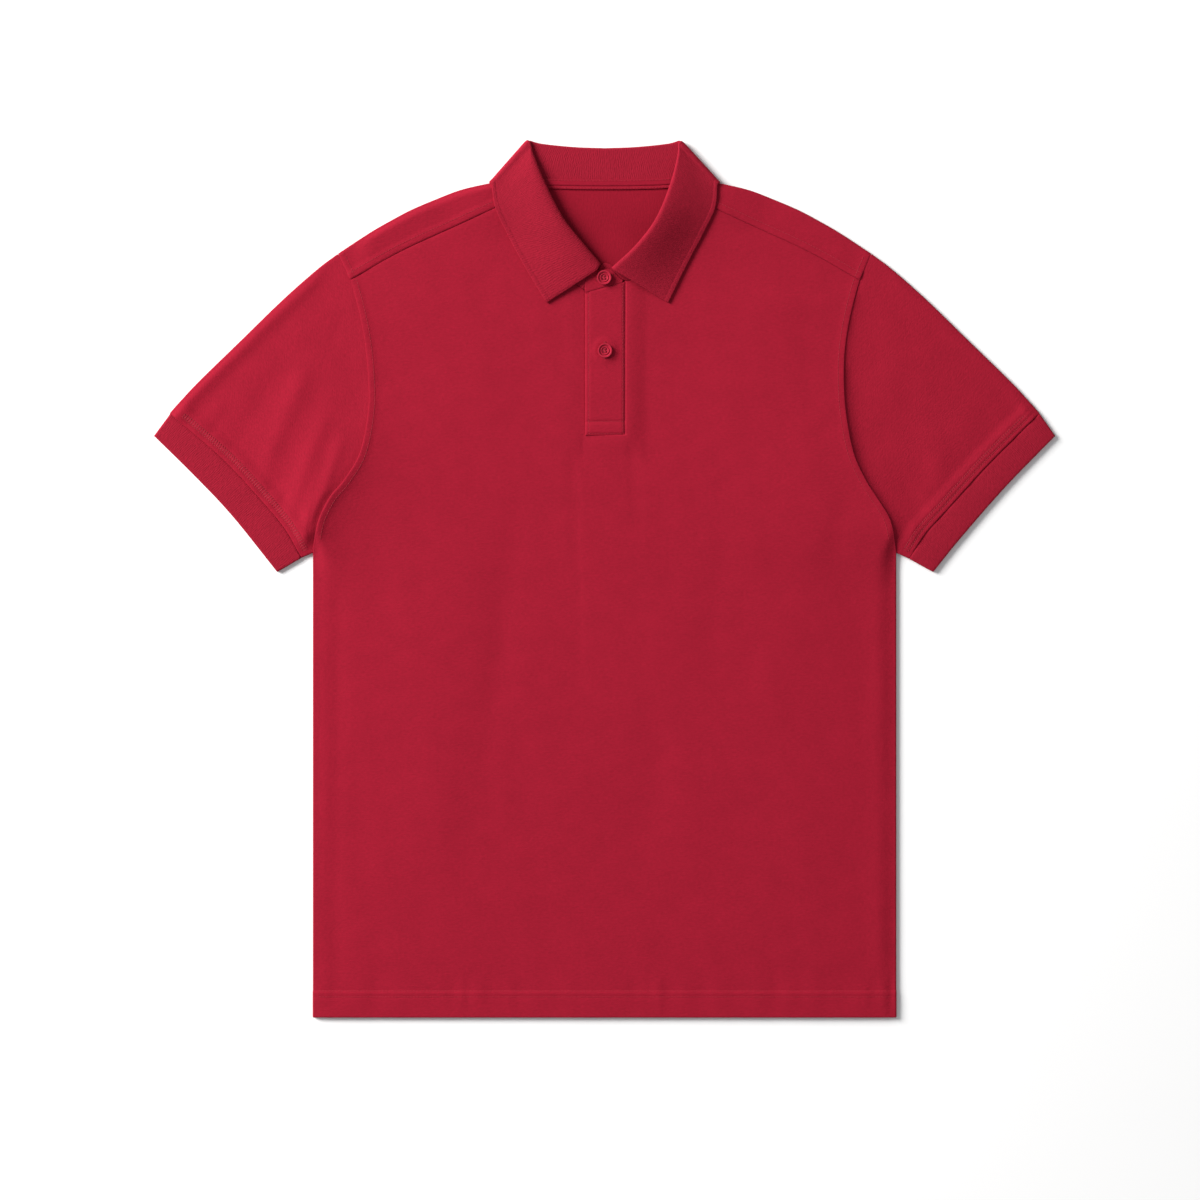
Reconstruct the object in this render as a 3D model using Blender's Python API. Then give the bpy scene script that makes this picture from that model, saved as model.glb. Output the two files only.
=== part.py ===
"""A short-sleeved polo shirt, laid flat and face up.

Sizes are in millimetres: x to the viewer's right, y from the hem to the neck, z up from the surface.
In the tables, x is measured outward from the centre line, and a piece is turned over for the left side.
"""

import math

import bpy
import numpy as np

LENGTH = 781.3  # hem to the top of the collar
HALF_CHEST = 260.0
CLOTH, RIB, BAND, TAPE = 1.2, 1.6, 1.6, 1.0  # walls: pique, rib knit, collar band, neck tape
GAP = 0.35  # between two pieces at a seam
LAYER = 0.3  # between two layers that lie on each other
HEM_DEEP, HEM_WALL = 24.0, 1.6
UNDERARM = 414.0
SHOULDER_TURN = 0.9  # radius of the fold along the shoulders and the sleeve tops
SIDE_TURN = 0.7  # radius of the quarter turn at the side and underarm seams
SLOT_LEFT, SLOT_RIGHT, SLOT_BASE = 17.9, 18.7, 525.0
PLACKET_LEFT, PLACKET_RIGHT, PLACKET_BASE, PLACKET_WALL = -17.5, 18.3, 519.0, 1.8
BUTTON_WIDE, BUTTON_THICK, BUTTON_RIM, BUTTON_WELL = 12.7, 2.9, 1.7, 6.8
BUTTON_HOLE, HOLE_SPREAD = 1.7, 2.6
BUTTON_TOP, BUTTON_LOWER = (-0.4, 659.4), (0.3, 594.5)
COLLAR_LIFT = 2.1  # how far the back panel is held up by the leaf beneath it
ROLL = 1.15  # radius of the collar's roll

# y, outward x on the left, outward x on the right. The last row is at the forward seam.
ARMHOLE = (
    (414.0, 260.0, 260.0),
    (422.0, 259.2, 259.0),
    (444.5, 254.2, 254.0),
    (464.5, 244.2, 242.0),
    (479.5, 231.8, 232.5),
    (504.6, 217.5, 221.5),
    (544.6, 210.4, 214.5),
    (584.7, 211.7, 213.5),
    (619.7, 216.7, 217.8),
    (657.5, 226.7, 227.5),
)
# outward x, y of the outline from the neck along the shoulder, then along the sleeve's top fold
SHOULDER = (
    (88.0, 747.0), (101.3, 744.0), (128.0, 738.0), (152.0, 729.0), (173.0, 720.0),
    (190.0, 711.0), (205.0, 702.5), (219.0, 693.6), (238.0, 681.0),
)
SLEEVE_TOP = (
    (238.0, 681.0), (256.5, 667.0), (287.0, 640.0), (324.0, 604.0), (360.0, 569.0),
    (377.0, 551.0), (387.4, 539.3),
)
# outward x, y of the seam where the back panel, brought over the shoulder, meets the front
FORWARD_SEAM = ((226.7, 657.5), (182.5, 682.6), (130.0, 706.8), (93.0, 723.6), (81.0, 729.0))
NECK_FRONT = ((81.0, 729.0), (74.5, 708.0), (57.0, 681.0), (34.0, 660.0))
NECK_BACK = ((88.0, 747.0), (60.0, 742.6), (30.0, 741.3), (0.0, 741.0))
NECK_END_LEFT, NECK_END_RIGHT = 648.5, 656.5  # y where the neckline meets the slot
# outward x, y along the sleeve's cuff seam and along the cuff's edge, from the underarm to the top
CUFF_SEAM = {
    -1: ((270.4, 409.9), (284.2, 434.9), (306.5, 462.0), (339.5, 497.3), (387.0, 538.6)),
    1: ((271.5, 409.2), (286.5, 432.0), (306.3, 453.8), (342.0, 493.0), (387.6, 538.6)),
}
CUFF_EDGE = {
    -1: ((291.8, 397.4), (331.8, 447.3), (364.5, 482.1), (401.7, 518.8)),
    1: ((292.9, 397.4), (317.0, 427.2), (356.7, 472.6), (401.7, 518.8)),
}
# Long soft folds: x, y of both ends, half width, height (a trough is below nought)
FRONT_FOLDS = (
    (-82.0, 404.0, -102.0, 301.0, 20.0, -0.75),
    (-102.0, 301.0, -140.0, 198.0, 22.0, -0.8),
    (-156.0, 420.0, -160.0, 170.0, 48.0, 0.8),
    (-234.0, 462.0, -246.0, 370.0, 15.0, -0.7),
    (-16.0, 512.0, -6.0, 300.0, 9.0, -0.45),
    (26.0, 505.0, 34.0, 420.0, 9.0, -0.4),
    (103.0, 390.0, 100.0, 290.0, 14.0, -0.6),
    (49.0, 250.0, 44.0, 180.0, 14.0, -0.5),
    (170.0, 430.0, 176.0, 120.0, 50.0, 0.6),
    (243.0, 380.0, 246.0, 160.0, 13.0, 0.5),
    (-238.0, 70.0, -224.0, 30.0, 26.0, -0.6),
    (-150.0, 640.0, -120.0, 560.0, 34.0, 0.5),
    (150.0, 640.0, 124.0, 560.0, 34.0, 0.5),
)
SLEEVE_FOLDS = {
    -1: (
        (-262.0, 452.0, -334.0, 592.0, 17.0, 1.1),
        (-250.0, 486.0, -282.0, 600.0, 15.0, -0.5),
        (-270.0, 444.0, -352.0, 548.0, 12.0, -0.5),
        (-266.0, 430.0, -330.0, 500.0, 12.0, 0.8),
        (-226.0, 545.0, -246.0, 640.0, 14.0, 0.5),
    ),
    1: (
        (262.0, 452.0, 366.0, 545.0, 20.0, 0.9),
        (250.0, 486.0, 300.0, 600.0, 18.0, -0.5),
        (268.0, 440.0, 320.0, 480.0, 12.0, 0.6),
        (228.0, 545.0, 256.0, 640.0, 16.0, 0.5),
    ),
}
# The collar from the shoulder to its front end, on each side: outward x, y and height of the roll, then
# outward x and y of the leaf's edge, and the stand's height at the neck seam.
COLLAR_FRONT = {
    -1: (
        (66.0, 779.0, 8.0, 97.9, 744.7, 4.7),
        (55.0, 749.0, 9.3, 97.0, 722.0, 4.8),
        (37.5, 714.0, 10.0, 87.0, 700.0, 4.4),
        (20.0, 691.5, 8.6, 70.5, 669.0, 3.8),
        (3.4, 672.2, 3.9, 51.4, 637.6, 2.6),
    ),
    1: (
        (66.0, 779.0, 8.0, 97.9, 744.7, 4.7),
        (60.0, 748.0, 9.3, 98.2, 722.0, 4.8),
        (46.0, 712.5, 10.2, 88.0, 700.0, 4.5),
        (27.5, 687.5, 9.6, 71.8, 669.0, 4.5),
        (6.3, 668.0, 7.9, 56.6, 637.6, 4.6),
    ),
}
# The collar across the back: outward x at the neck seam, then x and y of the roll and of the leaf's edge
COLLAR_BACK = (
    (86.0, 66.0, 779.0, 97.9, 744.7),
    (60.0, 47.0, 777.0, 74.0, 734.0),
    (30.0, 24.0, 775.4, 38.0, 731.6),
    (0.0, 0.0, 774.9, 0.0, 731.0),
)
COLLAR_OUT = (0.76, 0.65)  # the way the collar turns at the shoulder, in outward x and y
# The buttoned ends of the collar's band: x, y of the lower and of the upper edge
BAND_OVER = (
    (-17.4, 647.2, 658.0),
    (-16.6, 647.4, 660.8),
    (-14.6, 647.9, 663.0),
    (-11.0, 648.9, 664.9),
    (-5.0, 650.5, 666.8),
    (1.2, 652.1, 667.6),
    (6.4, 653.5, 666.4),
    (11.6, 654.9, 661.6),
    (16.4, 656.2, 657.7),
)
BAND_UNDER = (
    (-17.1, 647.4, 648.9),
    (-12.0, 648.7, 657.4),
    (-6.0, 650.3, 667.0),
    (-1.4, 651.5, 672.6),
    (4.0, 653.0, 672.2),
    (10.0, 654.6, 669.0),
    (15.6, 656.1, 664.6),
    (17.1, 656.5, 661.6),
)
BAND_OVER_HEIGHT, BAND_UNDER_HEIGHT = 4.9, 2.5
PLACKET_OVER_HEIGHT, PLACKET_UNDER_HEIGHT = 4.2, 2.25
TAPE_DEEP, TAPE_HALF, TAPE_HEIGHT = 9.0, 62.0, 4.7

SHOULDER_STEPS, NECK_STEPS, BACK_NECK_STEPS = 7, 6, 8
ARMHOLE_STEPS, STRIP_STEPS, UNDER_STEPS, TURN_STEPS = 12, 2, 12, 4
SLEEVE_STEPS, LEAF_STEPS, COLLAR_TURN_STEPS = 9, 4, 6
LEAF_BOW = 1.2
TOP_TURN = 1.7  # from the middle of the wall to the outline at a sleeve's top fold
TURN_LENGTH = SIDE_TURN * math.pi / 2
BASE_ROW = 20  # the row of the front panel where the slot starts
HEM_ROWS = (0.0, 12.0, 22.5, 25.5)
SIDE_ROWS = HEM_ROWS + (62.0, 102.0, 142.0, 182.0, 222.0, 262.0, 302.0, 342.0, 378.0, 398.0, UNDERARM)
BACK_ROWS = HEM_ROWS + (110.0, 200.0, 290.0, 370.0, 398.0, UNDERARM)

RED_FRONT, RED_BACK, RED_RIB = (170, 33, 52), (158, 28, 48), (168, 33, 52)
RED_SLEEVE = {-1: (171, 32, 51), 1: (163, 30, 49)}
RED_COLLAR, RED_BUTTON = (166, 32, 50), (150, 32, 48)


# --- lines and surfaces -------------------------------------------------------------------------


def smooth(points, steps=12):
    """A smooth line through the points, which stay at every steps-th place of it."""
    p = np.asarray(points, float)
    p = np.vstack([2 * p[0] - p[1], p, 2 * p[-1] - p[-2]])
    t = np.linspace(0, 1, steps, endpoint=False)[:, None]
    runs = []
    for a, b, c, d in zip(p[:-3], p[1:-2], p[2:-1], p[3:]):
        bend = (2 * a - 5 * b + 4 * c - d) * t**2 + (3 * b - a - 3 * c + d) * t**3
        runs.append(0.5 * (2 * b + (c - a) * t + bend))
    return np.vstack(runs + [p[-2:-1]])


def lengths(line):
    steps = np.linalg.norm(np.diff(line, axis=0), axis=1)
    return np.concatenate([[0.0], np.cumsum(steps)])


def spaced(line, fractions):
    """The points at these fractions of a line's length."""
    line = np.asarray(line, float)
    along = lengths(line)
    wanted = np.asarray(fractions, float) * along[-1]
    return np.column_stack([np.interp(wanted, along, column) for column in line.T])


def even(line, steps):
    return spaced(line, np.linspace(0, 1, steps + 1))


def rights(line):
    """Unit vectors to the right of a line's direction, in plan."""
    way = np.gradient(np.asarray(line, float)[:, :2], axis=0)
    way /= np.linalg.norm(way, axis=1, keepdims=True)
    return np.column_stack([way[:, 1], -way[:, 0]])


def moved(line, distance):
    """The line moved to its right."""
    return line + rights(line) * distance


def ease(value, start, end):
    t = np.clip((np.asarray(value, float) - start) / (end - start), 0, 1)
    return t * t * (3 - 2 * t)


def blend(first, last, share):
    """Straight lines between two rows of points, cut at these shares: an array of share, row, x and y."""
    share = np.asarray(share, float)[:, None, None]
    return first[None] * (1 - share) + last[None] * share


def bulge(line):
    """How far a line's points lie from the straight line between its ends, by shares of its length."""
    share = lengths(line) / lengths(line)[-1]
    return line - (line[0] * (1 - share[:, None]) + line[-1] * share[:, None])


def folds(x, y, table):
    """The height that a table's long soft folds add at these points."""
    total = np.zeros_like(x)
    for x0, y0, x1, y1, half_width, height in table:
        run = np.hypot(x1 - x0, y1 - y0)
        way = np.array([x1 - x0, y1 - y0]) / run
        along = (x - x0) * way[0] + (y - y0) * way[1]
        across = (x - x0) * way[1] - (y - y0) * way[0]
        past = np.maximum(0, np.maximum(-along, along - run)) / (2.2 * half_width)
        total += height * np.exp(-((across / half_width) ** 2) - past**2)
    return total


# --- heights of the cloth -----------------------------------------------------------------------


def back_height(x, y):
    """Middle of the back panel's wall: flat on the surface, but lifted at the neck by the leaf beneath."""
    hem = (HEM_WALL - CLOTH) / 2 * (1 - ease(y, HEM_DEEP - 1, HEM_DEEP + 1))
    near_neck = ease(y, 690, 722) * (1 - ease(np.abs(x), 104, 152))
    return CLOTH / 2 + hem + COLLAR_LIFT * near_neck


def front_height(x, y):
    """Middle of the front panel's wall, lofted off the back and with its folds, low at side and slot."""
    side = np.clip(ease(HALF_CHEST - np.abs(x), 1, 16) + ease(y, 405, 440), 0, 1)
    slot = np.maximum(ease(np.abs(x), 17, 34), 1 - ease(y, 470, 520))
    hem = (HEM_WALL - CLOTH) / 2 * (1 - ease(y, HEM_DEEP - 1, HEM_DEEP + 1))
    calm = ease(y, 10, 60) * (1 - ease(y, 640, 700))
    loft = np.maximum(0.55 + folds(x, y, FRONT_FOLDS) * calm, -0.2)
    return back_height(x, y) + 2 * SHOULDER_TURN + hem + side * slot * loft


def strip_height(x, y, low, share):
    """The cloth brought over the shoulder, from its fold (share 0) to the forward seam (share 1)."""
    return (low + 2 * SHOULDER_TURN) * (1 - share) + front_height(x, y) * share


def sleeve_height(x, y, u, v, side):
    """Top wall of a sleeve: u from armhole to cuff, v from the underarm to the top fold."""
    edge = ease(u, 0, 0.3) * (1 - ease(u, 0.7, 1)) * ease(v, 0, 0.15) * (1 - ease(v, 0.84, 1))
    return CLOTH / 2 + 2 * SHOULDER_TURN + edge * (0.8 + folds(x, y, SLEEVE_FOLDS[side]))


# --- making the solids --------------------------------------------------------------------------


def linear(byte):
    value = byte / 255
    return value / 12.92 if value <= 0.04045 else ((value + 0.055) / 1.055) ** 2.4


def colour(obj, rgb, roughness):
    material = bpy.data.materials.new(obj.name)
    material.use_nodes = True
    shader = material.node_tree.nodes["Principled BSDF"]
    tint = [linear(byte) for byte in rgb] + [1.0]
    shader.inputs["Base Color"].default_value = tint
    shader.inputs["Roughness"].default_value = roughness
    shader.inputs["Metallic"].default_value = 0.0
    material.diffuse_color = tint
    obj.data.materials.append(material)


def piece(name, points, faces, rgb, roughness=0.85):
    """A named object from points in millimetres, with the shirt's middle at the origin."""
    used, faces = np.unique(np.asarray(faces), return_inverse=True)
    points = np.asarray(points)[used] - (0, LENGTH / 2, 0)
    mesh = bpy.data.meshes.new(name)
    mesh.from_pydata((points / 1000).tolist(), [], faces.reshape(-1, 4).tolist())
    obj = bpy.data.objects.new(name, mesh)
    bpy.context.scene.collection.objects.link(obj)
    mesh.polygons.foreach_set("use_smooth", [True] * len(mesh.polygons))
    mesh.set_sharp_from_angle(angle=math.radians(45))
    colour(obj, rgb, roughness)
    return obj


def wall(name, middle, thick, rgb, missing=None):
    """A closed wall of cloth about a middle surface, given as a grid of points. Missing cells stay open."""
    middle = np.asarray(middle, float)
    ways = np.gradient(middle, axis=(0, 1), edge_order=2)
    normal = np.cross(*ways)
    normal /= np.linalg.norm(normal, axis=2, keepdims=True)
    half = np.broadcast_to(np.asarray(thick, float) / 2, middle.shape[:2])[..., None]
    rows, columns = middle.shape[:2]
    count = rows * columns
    points = np.concatenate([middle + normal * half, middle - normal * half]).reshape(-1, 3)
    place = np.arange(count).reshape(rows, columns)
    cells = np.stack([place[:-1, :-1], place[1:, :-1], place[1:, 1:], place[:-1, 1:]], axis=-1)
    there = np.ones(cells.shape[:2], bool) if missing is None else ~missing
    cells = cells[there]
    edges = np.concatenate([cells[:, [k, (k + 1) % 4]] for k in range(4)])
    keys = edges[:, 0] * count + edges[:, 1]
    rim = edges[~np.isin(keys, edges[:, 1] * count + edges[:, 0])]
    sides = np.column_stack([rim[:, 1], rim[:, 0], rim[:, 0] + count, rim[:, 1] + count])
    faces = np.concatenate([cells, cells[:, ::-1] + count, sides])
    return piece(name, points, faces, rgb)


def raised(plan, height):
    return np.concatenate([plan, np.asarray(height)[..., None]], axis=-1)


def half_turn(plan, out, low, high, steps):
    """Rows of points round a fold, between a lower and an upper layer that share the row in plan."""
    angle = np.linspace(0, math.pi, steps + 1)[1:-1, None]
    radius = (high - low) / 2
    reach = plan[None] + out[None] * (radius * np.sin(angle))[..., None]
    return raised(reach, (high + low) / 2 - radius * np.cos(angle))


def quarter_turn(plan, out, height, down, keep, steps=2):
    """Rows of points beyond an edge, turning up or down where keep is 1 and running on flat where it is 0."""
    length = np.linspace(0, SIDE_TURN * math.pi / 2, steps + 1)[1:, None]
    bend = np.maximum(keep, 1e-3) / SIDE_TURN
    reach = plan[None] + out[None] * (np.sin(length * bend) / bend)[..., None]
    return raised(reach, height - down * (1 - np.cos(length * bend)) / bend)


def snug(thick):
    """How much of the full turn a wall can make at an edge without its inner side passing itself."""
    return np.minimum(1, SIDE_TURN / (np.asarray(thick, float) / 2 + 0.1))


def mirrored(middle, side):
    return middle * (side, 1, 1)


# --- the shared seam lines ----------------------------------------------------------------------


def armhole(side):
    """The armhole's line in two parts: underarm to forward seam, and on to the shoulder's fold."""
    table = np.array(ARMHOLE)
    points = np.column_stack([table[:, 1 if side < 0 else 2], table[:, 0]])
    top = shoulder_fold()[-1]
    line = smooth(np.vstack([points, top]))
    cut = 12 * (len(points) - 1)
    return line[: cut + 1], np.vstack([line[cut], top])


def shoulder_fold():
    return moved(smooth(SHOULDER), SHOULDER_TURN + CLOTH / 2)


def forward_seam(side):
    return smooth(np.vstack([armhole(side)[0][-1], FORWARD_SEAM[1:]]))


def neck_front(side):
    return smooth(NECK_FRONT + (slot_end(side),))


def slot_end(side):
    return (SLOT_LEFT, NECK_END_LEFT) if side < 0 else (SLOT_RIGHT, NECK_END_RIGHT)


def outer_edge(side_rows, armhole_points):
    """The body's edge up the side and the armhole, less the length of its turn, with its outward way."""
    seam = np.column_stack([np.full(len(side_rows), HALF_CHEST), side_rows])
    edge = np.vstack([seam, armhole_points[1:]])
    out = rights(edge)
    out[: len(side_rows) - 1] = (1, 0)
    return edge - out * (GAP / 2 + TURN_LENGTH), out


def hem_wall(y):
    return HEM_WALL - (HEM_WALL - CLOTH) * ease(y, HEM_DEEP - 1, HEM_DEEP + 1)


def filled(edge_rows, top, rows, start):
    """A plan between the left and right edges, which takes the shape of the top line above start."""
    share = lengths(top) / lengths(top)[-1]
    rise = np.clip((rows - start) / (rows[-1] - start), 0, 1) ** 1.4
    return blend(edge_rows[0], edge_rows[1], share) + bulge(top)[:, None] * rise[None, :, None]


# --- the body -----------------------------------------------------------------------------------


def front_half(side):
    """Half of the front panel in outward x, from its side to its slot: columns, rows, then x y z."""
    lower, _ = armhole(side)
    edge, out = outer_edge(SIDE_ROWS, even(lower, ARMHOLE_STEPS))
    slot, end = slot_end(side)
    heights = np.concatenate([
        HEM_ROWS,
        np.linspace(HEM_ROWS[-1], SLOT_BASE, BASE_ROW - 2)[1:],
        np.linspace(SLOT_BASE, end, len(edge) - BASE_ROW)[1:],
    ])
    inner = np.column_stack([np.full(len(heights), slot), heights])
    shoulder = moved(even(forward_seam(side), SHOULDER_STEPS), -GAP / 2)
    neck = moved(even(neck_front(side), NECK_STEPS), -GAP / 2)
    top = np.vstack([edge[-1], shoulder[1:-1], (shoulder[-1] + neck[0]) / 2, neck[1:-1], inner[-1]])
    plan = filled((edge, inner), top, heights, 240)
    height = front_height(plan[..., 0] * side, plan[..., 1])
    keep = (1 - ease(edge[:, 1], 396, UNDERARM)) * snug(hem_wall(edge[:, 1]))
    turn = quarter_turn(edge, out, height[0], 1, keep)
    return np.concatenate([turn[::-1], raised(plan, height)])


def front_panel():
    left = mirrored(front_half(-1), -1)
    middle = np.concatenate([left, front_half(1)[::-1]])
    missing = np.zeros((len(middle) - 1, middle.shape[1] - 1), bool)
    missing[len(left) - 1, BASE_ROW:] = True
    wall("front_panel", middle, hem_wall(middle[..., 1]), RED_FRONT, missing)


def back_top():
    """Half of the back's top line: the shoulder's fold from the armhole to the neck, then the neckline."""
    shoulder = even(shoulder_fold(), SHOULDER_STEPS)[::-1]
    neck = moved(even(smooth(NECK_BACK), BACK_NECK_STEPS // 2), -GAP / 2)
    return np.vstack([shoulder, neck[1:-1], [0.0, neck[-1, 1]]])


def back_panel():
    """The back, with a strip at each shoulder that is brought over to the forward seam."""
    half = back_top()
    edges, outs, turns = {}, {}, {}
    for side in (-1, 1):
        lower, upper = armhole(side)
        points = even(np.vstack([lower, upper[1:]]), UNDER_STEPS)
        edge, out = outer_edge(BACK_ROWS, points)
        edges[side], outs[side] = edge * (side, 1), out * (side, 1)
    top = np.vstack([edges[-1][-1], half[1:] * (-1, 1), half[-2:0:-1], edges[1][-1]])
    plan = filled((edges[-1], edges[1]), top, edges[1][:, 1], 260)
    height = back_height(plan[..., 0], plan[..., 1])
    for side, edge_height in ((-1, height[0]), (1, height[-1])):
        keep = (1 - ease(edges[side][:, 1], 396, UNDERARM)) * snug(hem_wall(edges[side][:, 1]))
        turns[side] = quarter_turn(edges[side], outs[side], edge_height, -1, keep)
    body = np.concatenate([turns[-1][::-1], raised(plan, height), turns[1]])
    shoulder = SHOULDER_STEPS + 3
    left, right = body[:shoulder, -1] * (-1, 1, 1), body[: -shoulder - 1: -1, -1]
    wraps = np.empty((len(body), TURN_STEPS + STRIP_STEPS, 3))
    wraps[:shoulder] = mirrored(shoulder_wrap(left, -1), -1)
    wraps[: -shoulder - 1: -1] = shoulder_wrap(right, 1)
    neck = slice(shoulder, len(body) - shoulder)
    wraps[neck] = wraps[shoulder - 1] + (body[neck, -1:] - body[shoulder - 1, -1]) * (1, 0, 0)
    middle = np.concatenate([body, wraps], axis=1)
    missing = np.zeros((len(middle) - 1, middle.shape[1] - 1), bool)
    missing[shoulder - 1: len(body) - shoulder, body.shape[1] - 1:] = True
    wall("back_panel", middle, hem_wall(middle[..., 1]), RED_BACK, missing)


def shoulder_wrap(fold, side):
    """In outward x: the rows past the fold of a shoulder, round it and down to the forward seam."""
    plan, low = fold[:, :2], fold[:, 2]
    high = low + 2 * SHOULDER_TURN
    turn = half_turn(plan, rights(plan), low, high, TURN_STEPS)
    seam = moved(even(forward_seam(side), SHOULDER_STEPS), GAP / 2)
    out = rights(armhole(side)[0])[-1]
    reach = out * TURN_LENGTH
    last = np.vstack([seam[0] - out * GAP / 2, seam[0] - out * GAP / 2 - reach / 2, seam])
    last[2] = seam[0] - out * GAP / 2 - reach
    steps = np.linspace(0, 1, STRIP_STEPS + 1)
    strip = blend(plan, last, steps)
    height = strip_height(strip[..., 0] * side, strip[..., 1], low, steps[:, None])
    return np.swapaxes(np.concatenate([turn, raised(strip, height)]), 0, 1)


# --- sleeves and cuffs --------------------------------------------------------------------------


def flat_tube(plan_low, plan_high, low, high, turn_out, under_out, thick):
    """A flattened tube, open only at its underarm seam. Each layer is rows from underarm to top fold."""
    keep = np.full(len(low[0]), snug(thick))
    under_low = quarter_turn(plan_low[0], under_out, low[0], -1, keep)
    under_high = quarter_turn(plan_high[0], under_out, high[0], 1, keep)
    fold = half_turn(plan_low[-1], turn_out, low[-1], high[-1], TURN_STEPS)
    return np.concatenate([
        under_low[::-1], raised(plan_low, low), fold, raised(plan_high, high)[::-1], under_high,
    ])


def sleeve_ends(side):
    """For the lower and the upper layer of a sleeve: its armhole points, and how far up each one is."""
    lower, upper = armhole(side)
    first = spaced(lower, [(TURN_LENGTH + CLOTH / 2) / lengths(lower)[-1]])
    whole = np.vstack([lower, upper[1:]])
    low = np.vstack([first, even(whole, UNDER_STEPS)[1:]])
    high = np.vstack([first, even(lower, ARMHOLE_STEPS)[1:], even(upper, STRIP_STEPS)[1:]])
    return [(moved(points, GAP / 2), lengths(points) / lengths(points)[-1]) for points in (low, high)]


def cuff_points(line, up):
    """Points on a line across the sleeve, short of its turns at the underarm and at the top."""
    size = lengths(line)[-1]
    return spaced(line, (TURN_LENGTH + up * (size - TURN_LENGTH - TOP_TURN)) / size)


def sleeve(side, name):
    outline = moved(smooth(SLEEVE_TOP), SHOULDER_TURN + CLOTH / 2)
    share = np.linspace(0, 1, SLEEVE_STEPS + 1)
    plans = []
    for points, up in sleeve_ends(side):
        across = cuff_points(moved(smooth(CUFF_SEAM[side]), -GAP / 2), up)
        top = np.vstack([points[-1], spaced(outline, share)[1:-1], across[-1]])
        plan = blend(points, across, share) + bulge(top)[:, None] * up[None, :, None] ** 1.3
        plans.append(np.swapaxes(plan, 0, 1))
    low = np.full(plans[0].shape[:2], CLOTH / 2)
    high = sleeve_height(plans[1][..., 0] * side, plans[1][..., 1], share[None, :], up[:, None], side)
    turn_out, under_out = -rights(plans[0][-1]), np.tile((0.0, -1.0), (SLEEVE_STEPS + 1, 1))
    tube = flat_tube(*plans, low, high, turn_out, under_out, CLOTH)
    wall(name, mirrored(tube, side), CLOTH, RED_SLEEVE[side])


def cuff(side, name):
    plans = []
    for _, up in sleeve_ends(side):
        seam = cuff_points(moved(smooth(CUFF_SEAM[side]), GAP / 2), up)
        edge = cuff_points(smooth(CUFF_EDGE[side]), up)
        plans.append(np.swapaxes(blend(seam, edge, np.linspace(0, 1, 4)), 0, 1))
    low, high = (np.full(plan.shape[:2], RIB / 2) for plan in plans)
    turn_out, under_out = -rights(plans[0][-1]), np.linspace((0.05, -1.0), (-0.45, -0.89), 4)
    tube = flat_tube(*plans, low, high + RIB + LAYER, turn_out, under_out, RIB)
    wall(name, mirrored(tube, side), RIB, RED_RIB)


# --- the collar ---------------------------------------------------------------------------------


def collar_column(seam, roll, edge, centre, front):
    """Points from the neck seam up the stand, over the roll and along the leaf, for many places at once."""
    up = 1 if front else -1
    out = roll - seam[:, :2]
    out /= np.linalg.norm(out, axis=1, keepdims=True)
    turn = roll - out * (ROLL + RIB / 2)
    rows = []
    for share in np.linspace(0, 1, 4):
        plan = seam[:, :2] * (1 - share) + turn * share
        rows.append(raised(plan, seam[:, 2] * (1 - share) + (centre - up * ROLL) * share))
    for angle in np.linspace(-90, 90, 5)[1:]:
        bend = math.radians(angle)
        rows.append(raised(turn + out * ROLL * math.cos(bend), centre + up * ROLL * math.sin(bend)))
    for share in np.linspace(0, 1, LEAF_STEPS + 1)[1:]:
        plan = turn * (1 - share) + edge[:, :2] * share
        height = (centre + up * ROLL) * (1 - share) + edge[:, 2] * share
        if front:
            height = height + LEAF_BOW * math.sin(math.pi * share)
        rows.append(raised(plan, height))
    return np.stack(rows, axis=1)


def above_front(x, y):
    return front_height(x, y) + (CLOTH + RIB) / 2 + LAYER + 0.25


def collar_front(side):
    """The front of the collar in outward x, from the shoulder to its end."""
    table = smooth(COLLAR_FRONT[side], 2)
    neck = even(neck_front(side), NECK_STEPS)
    strip = spaced(np.vstack([(88.0, 746.0), neck[0]]), np.linspace(0, 1, STRIP_STEPS + 1))
    seam = moved(np.vstack([strip[:-1], neck]), GAP / 2 + 0.25)
    seam[0] = COLLAR_BACK[0][0], 746.0
    seam = raised(seam, table[:, 5])
    edge = raised(table[:, 3:5], above_front(table[:, 3] * side, table[:, 4]))
    grid = collar_column(seam, table[:, :2], edge, table[:, 2], True)
    leaf = grid[:, -LEAF_STEPS:]
    leaf[..., 2] = np.maximum(leaf[..., 2], above_front(leaf[..., 0] * side, leaf[..., 1]))
    return grid


def collar_back():
    """Half of the collar's back in outward x, from the shoulder to the middle."""
    table = smooth(COLLAR_BACK, 2)
    neck = smooth(NECK_BACK)
    y = np.interp(-table[:, 0], -neck[:, 0], neck[:, 1]) + GAP + 0.15
    y[0] = 746.0
    seam = raised(np.column_stack([table[:, 0], y]), np.full(len(table), COLLAR_LIFT + 1.0))
    edge = raised(table[:, 3:5], np.full(len(table), RIB / 2))
    return collar_column(seam, table[:, 1:3], edge, np.full(len(table), RIB / 2 + ROLL), False)


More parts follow.
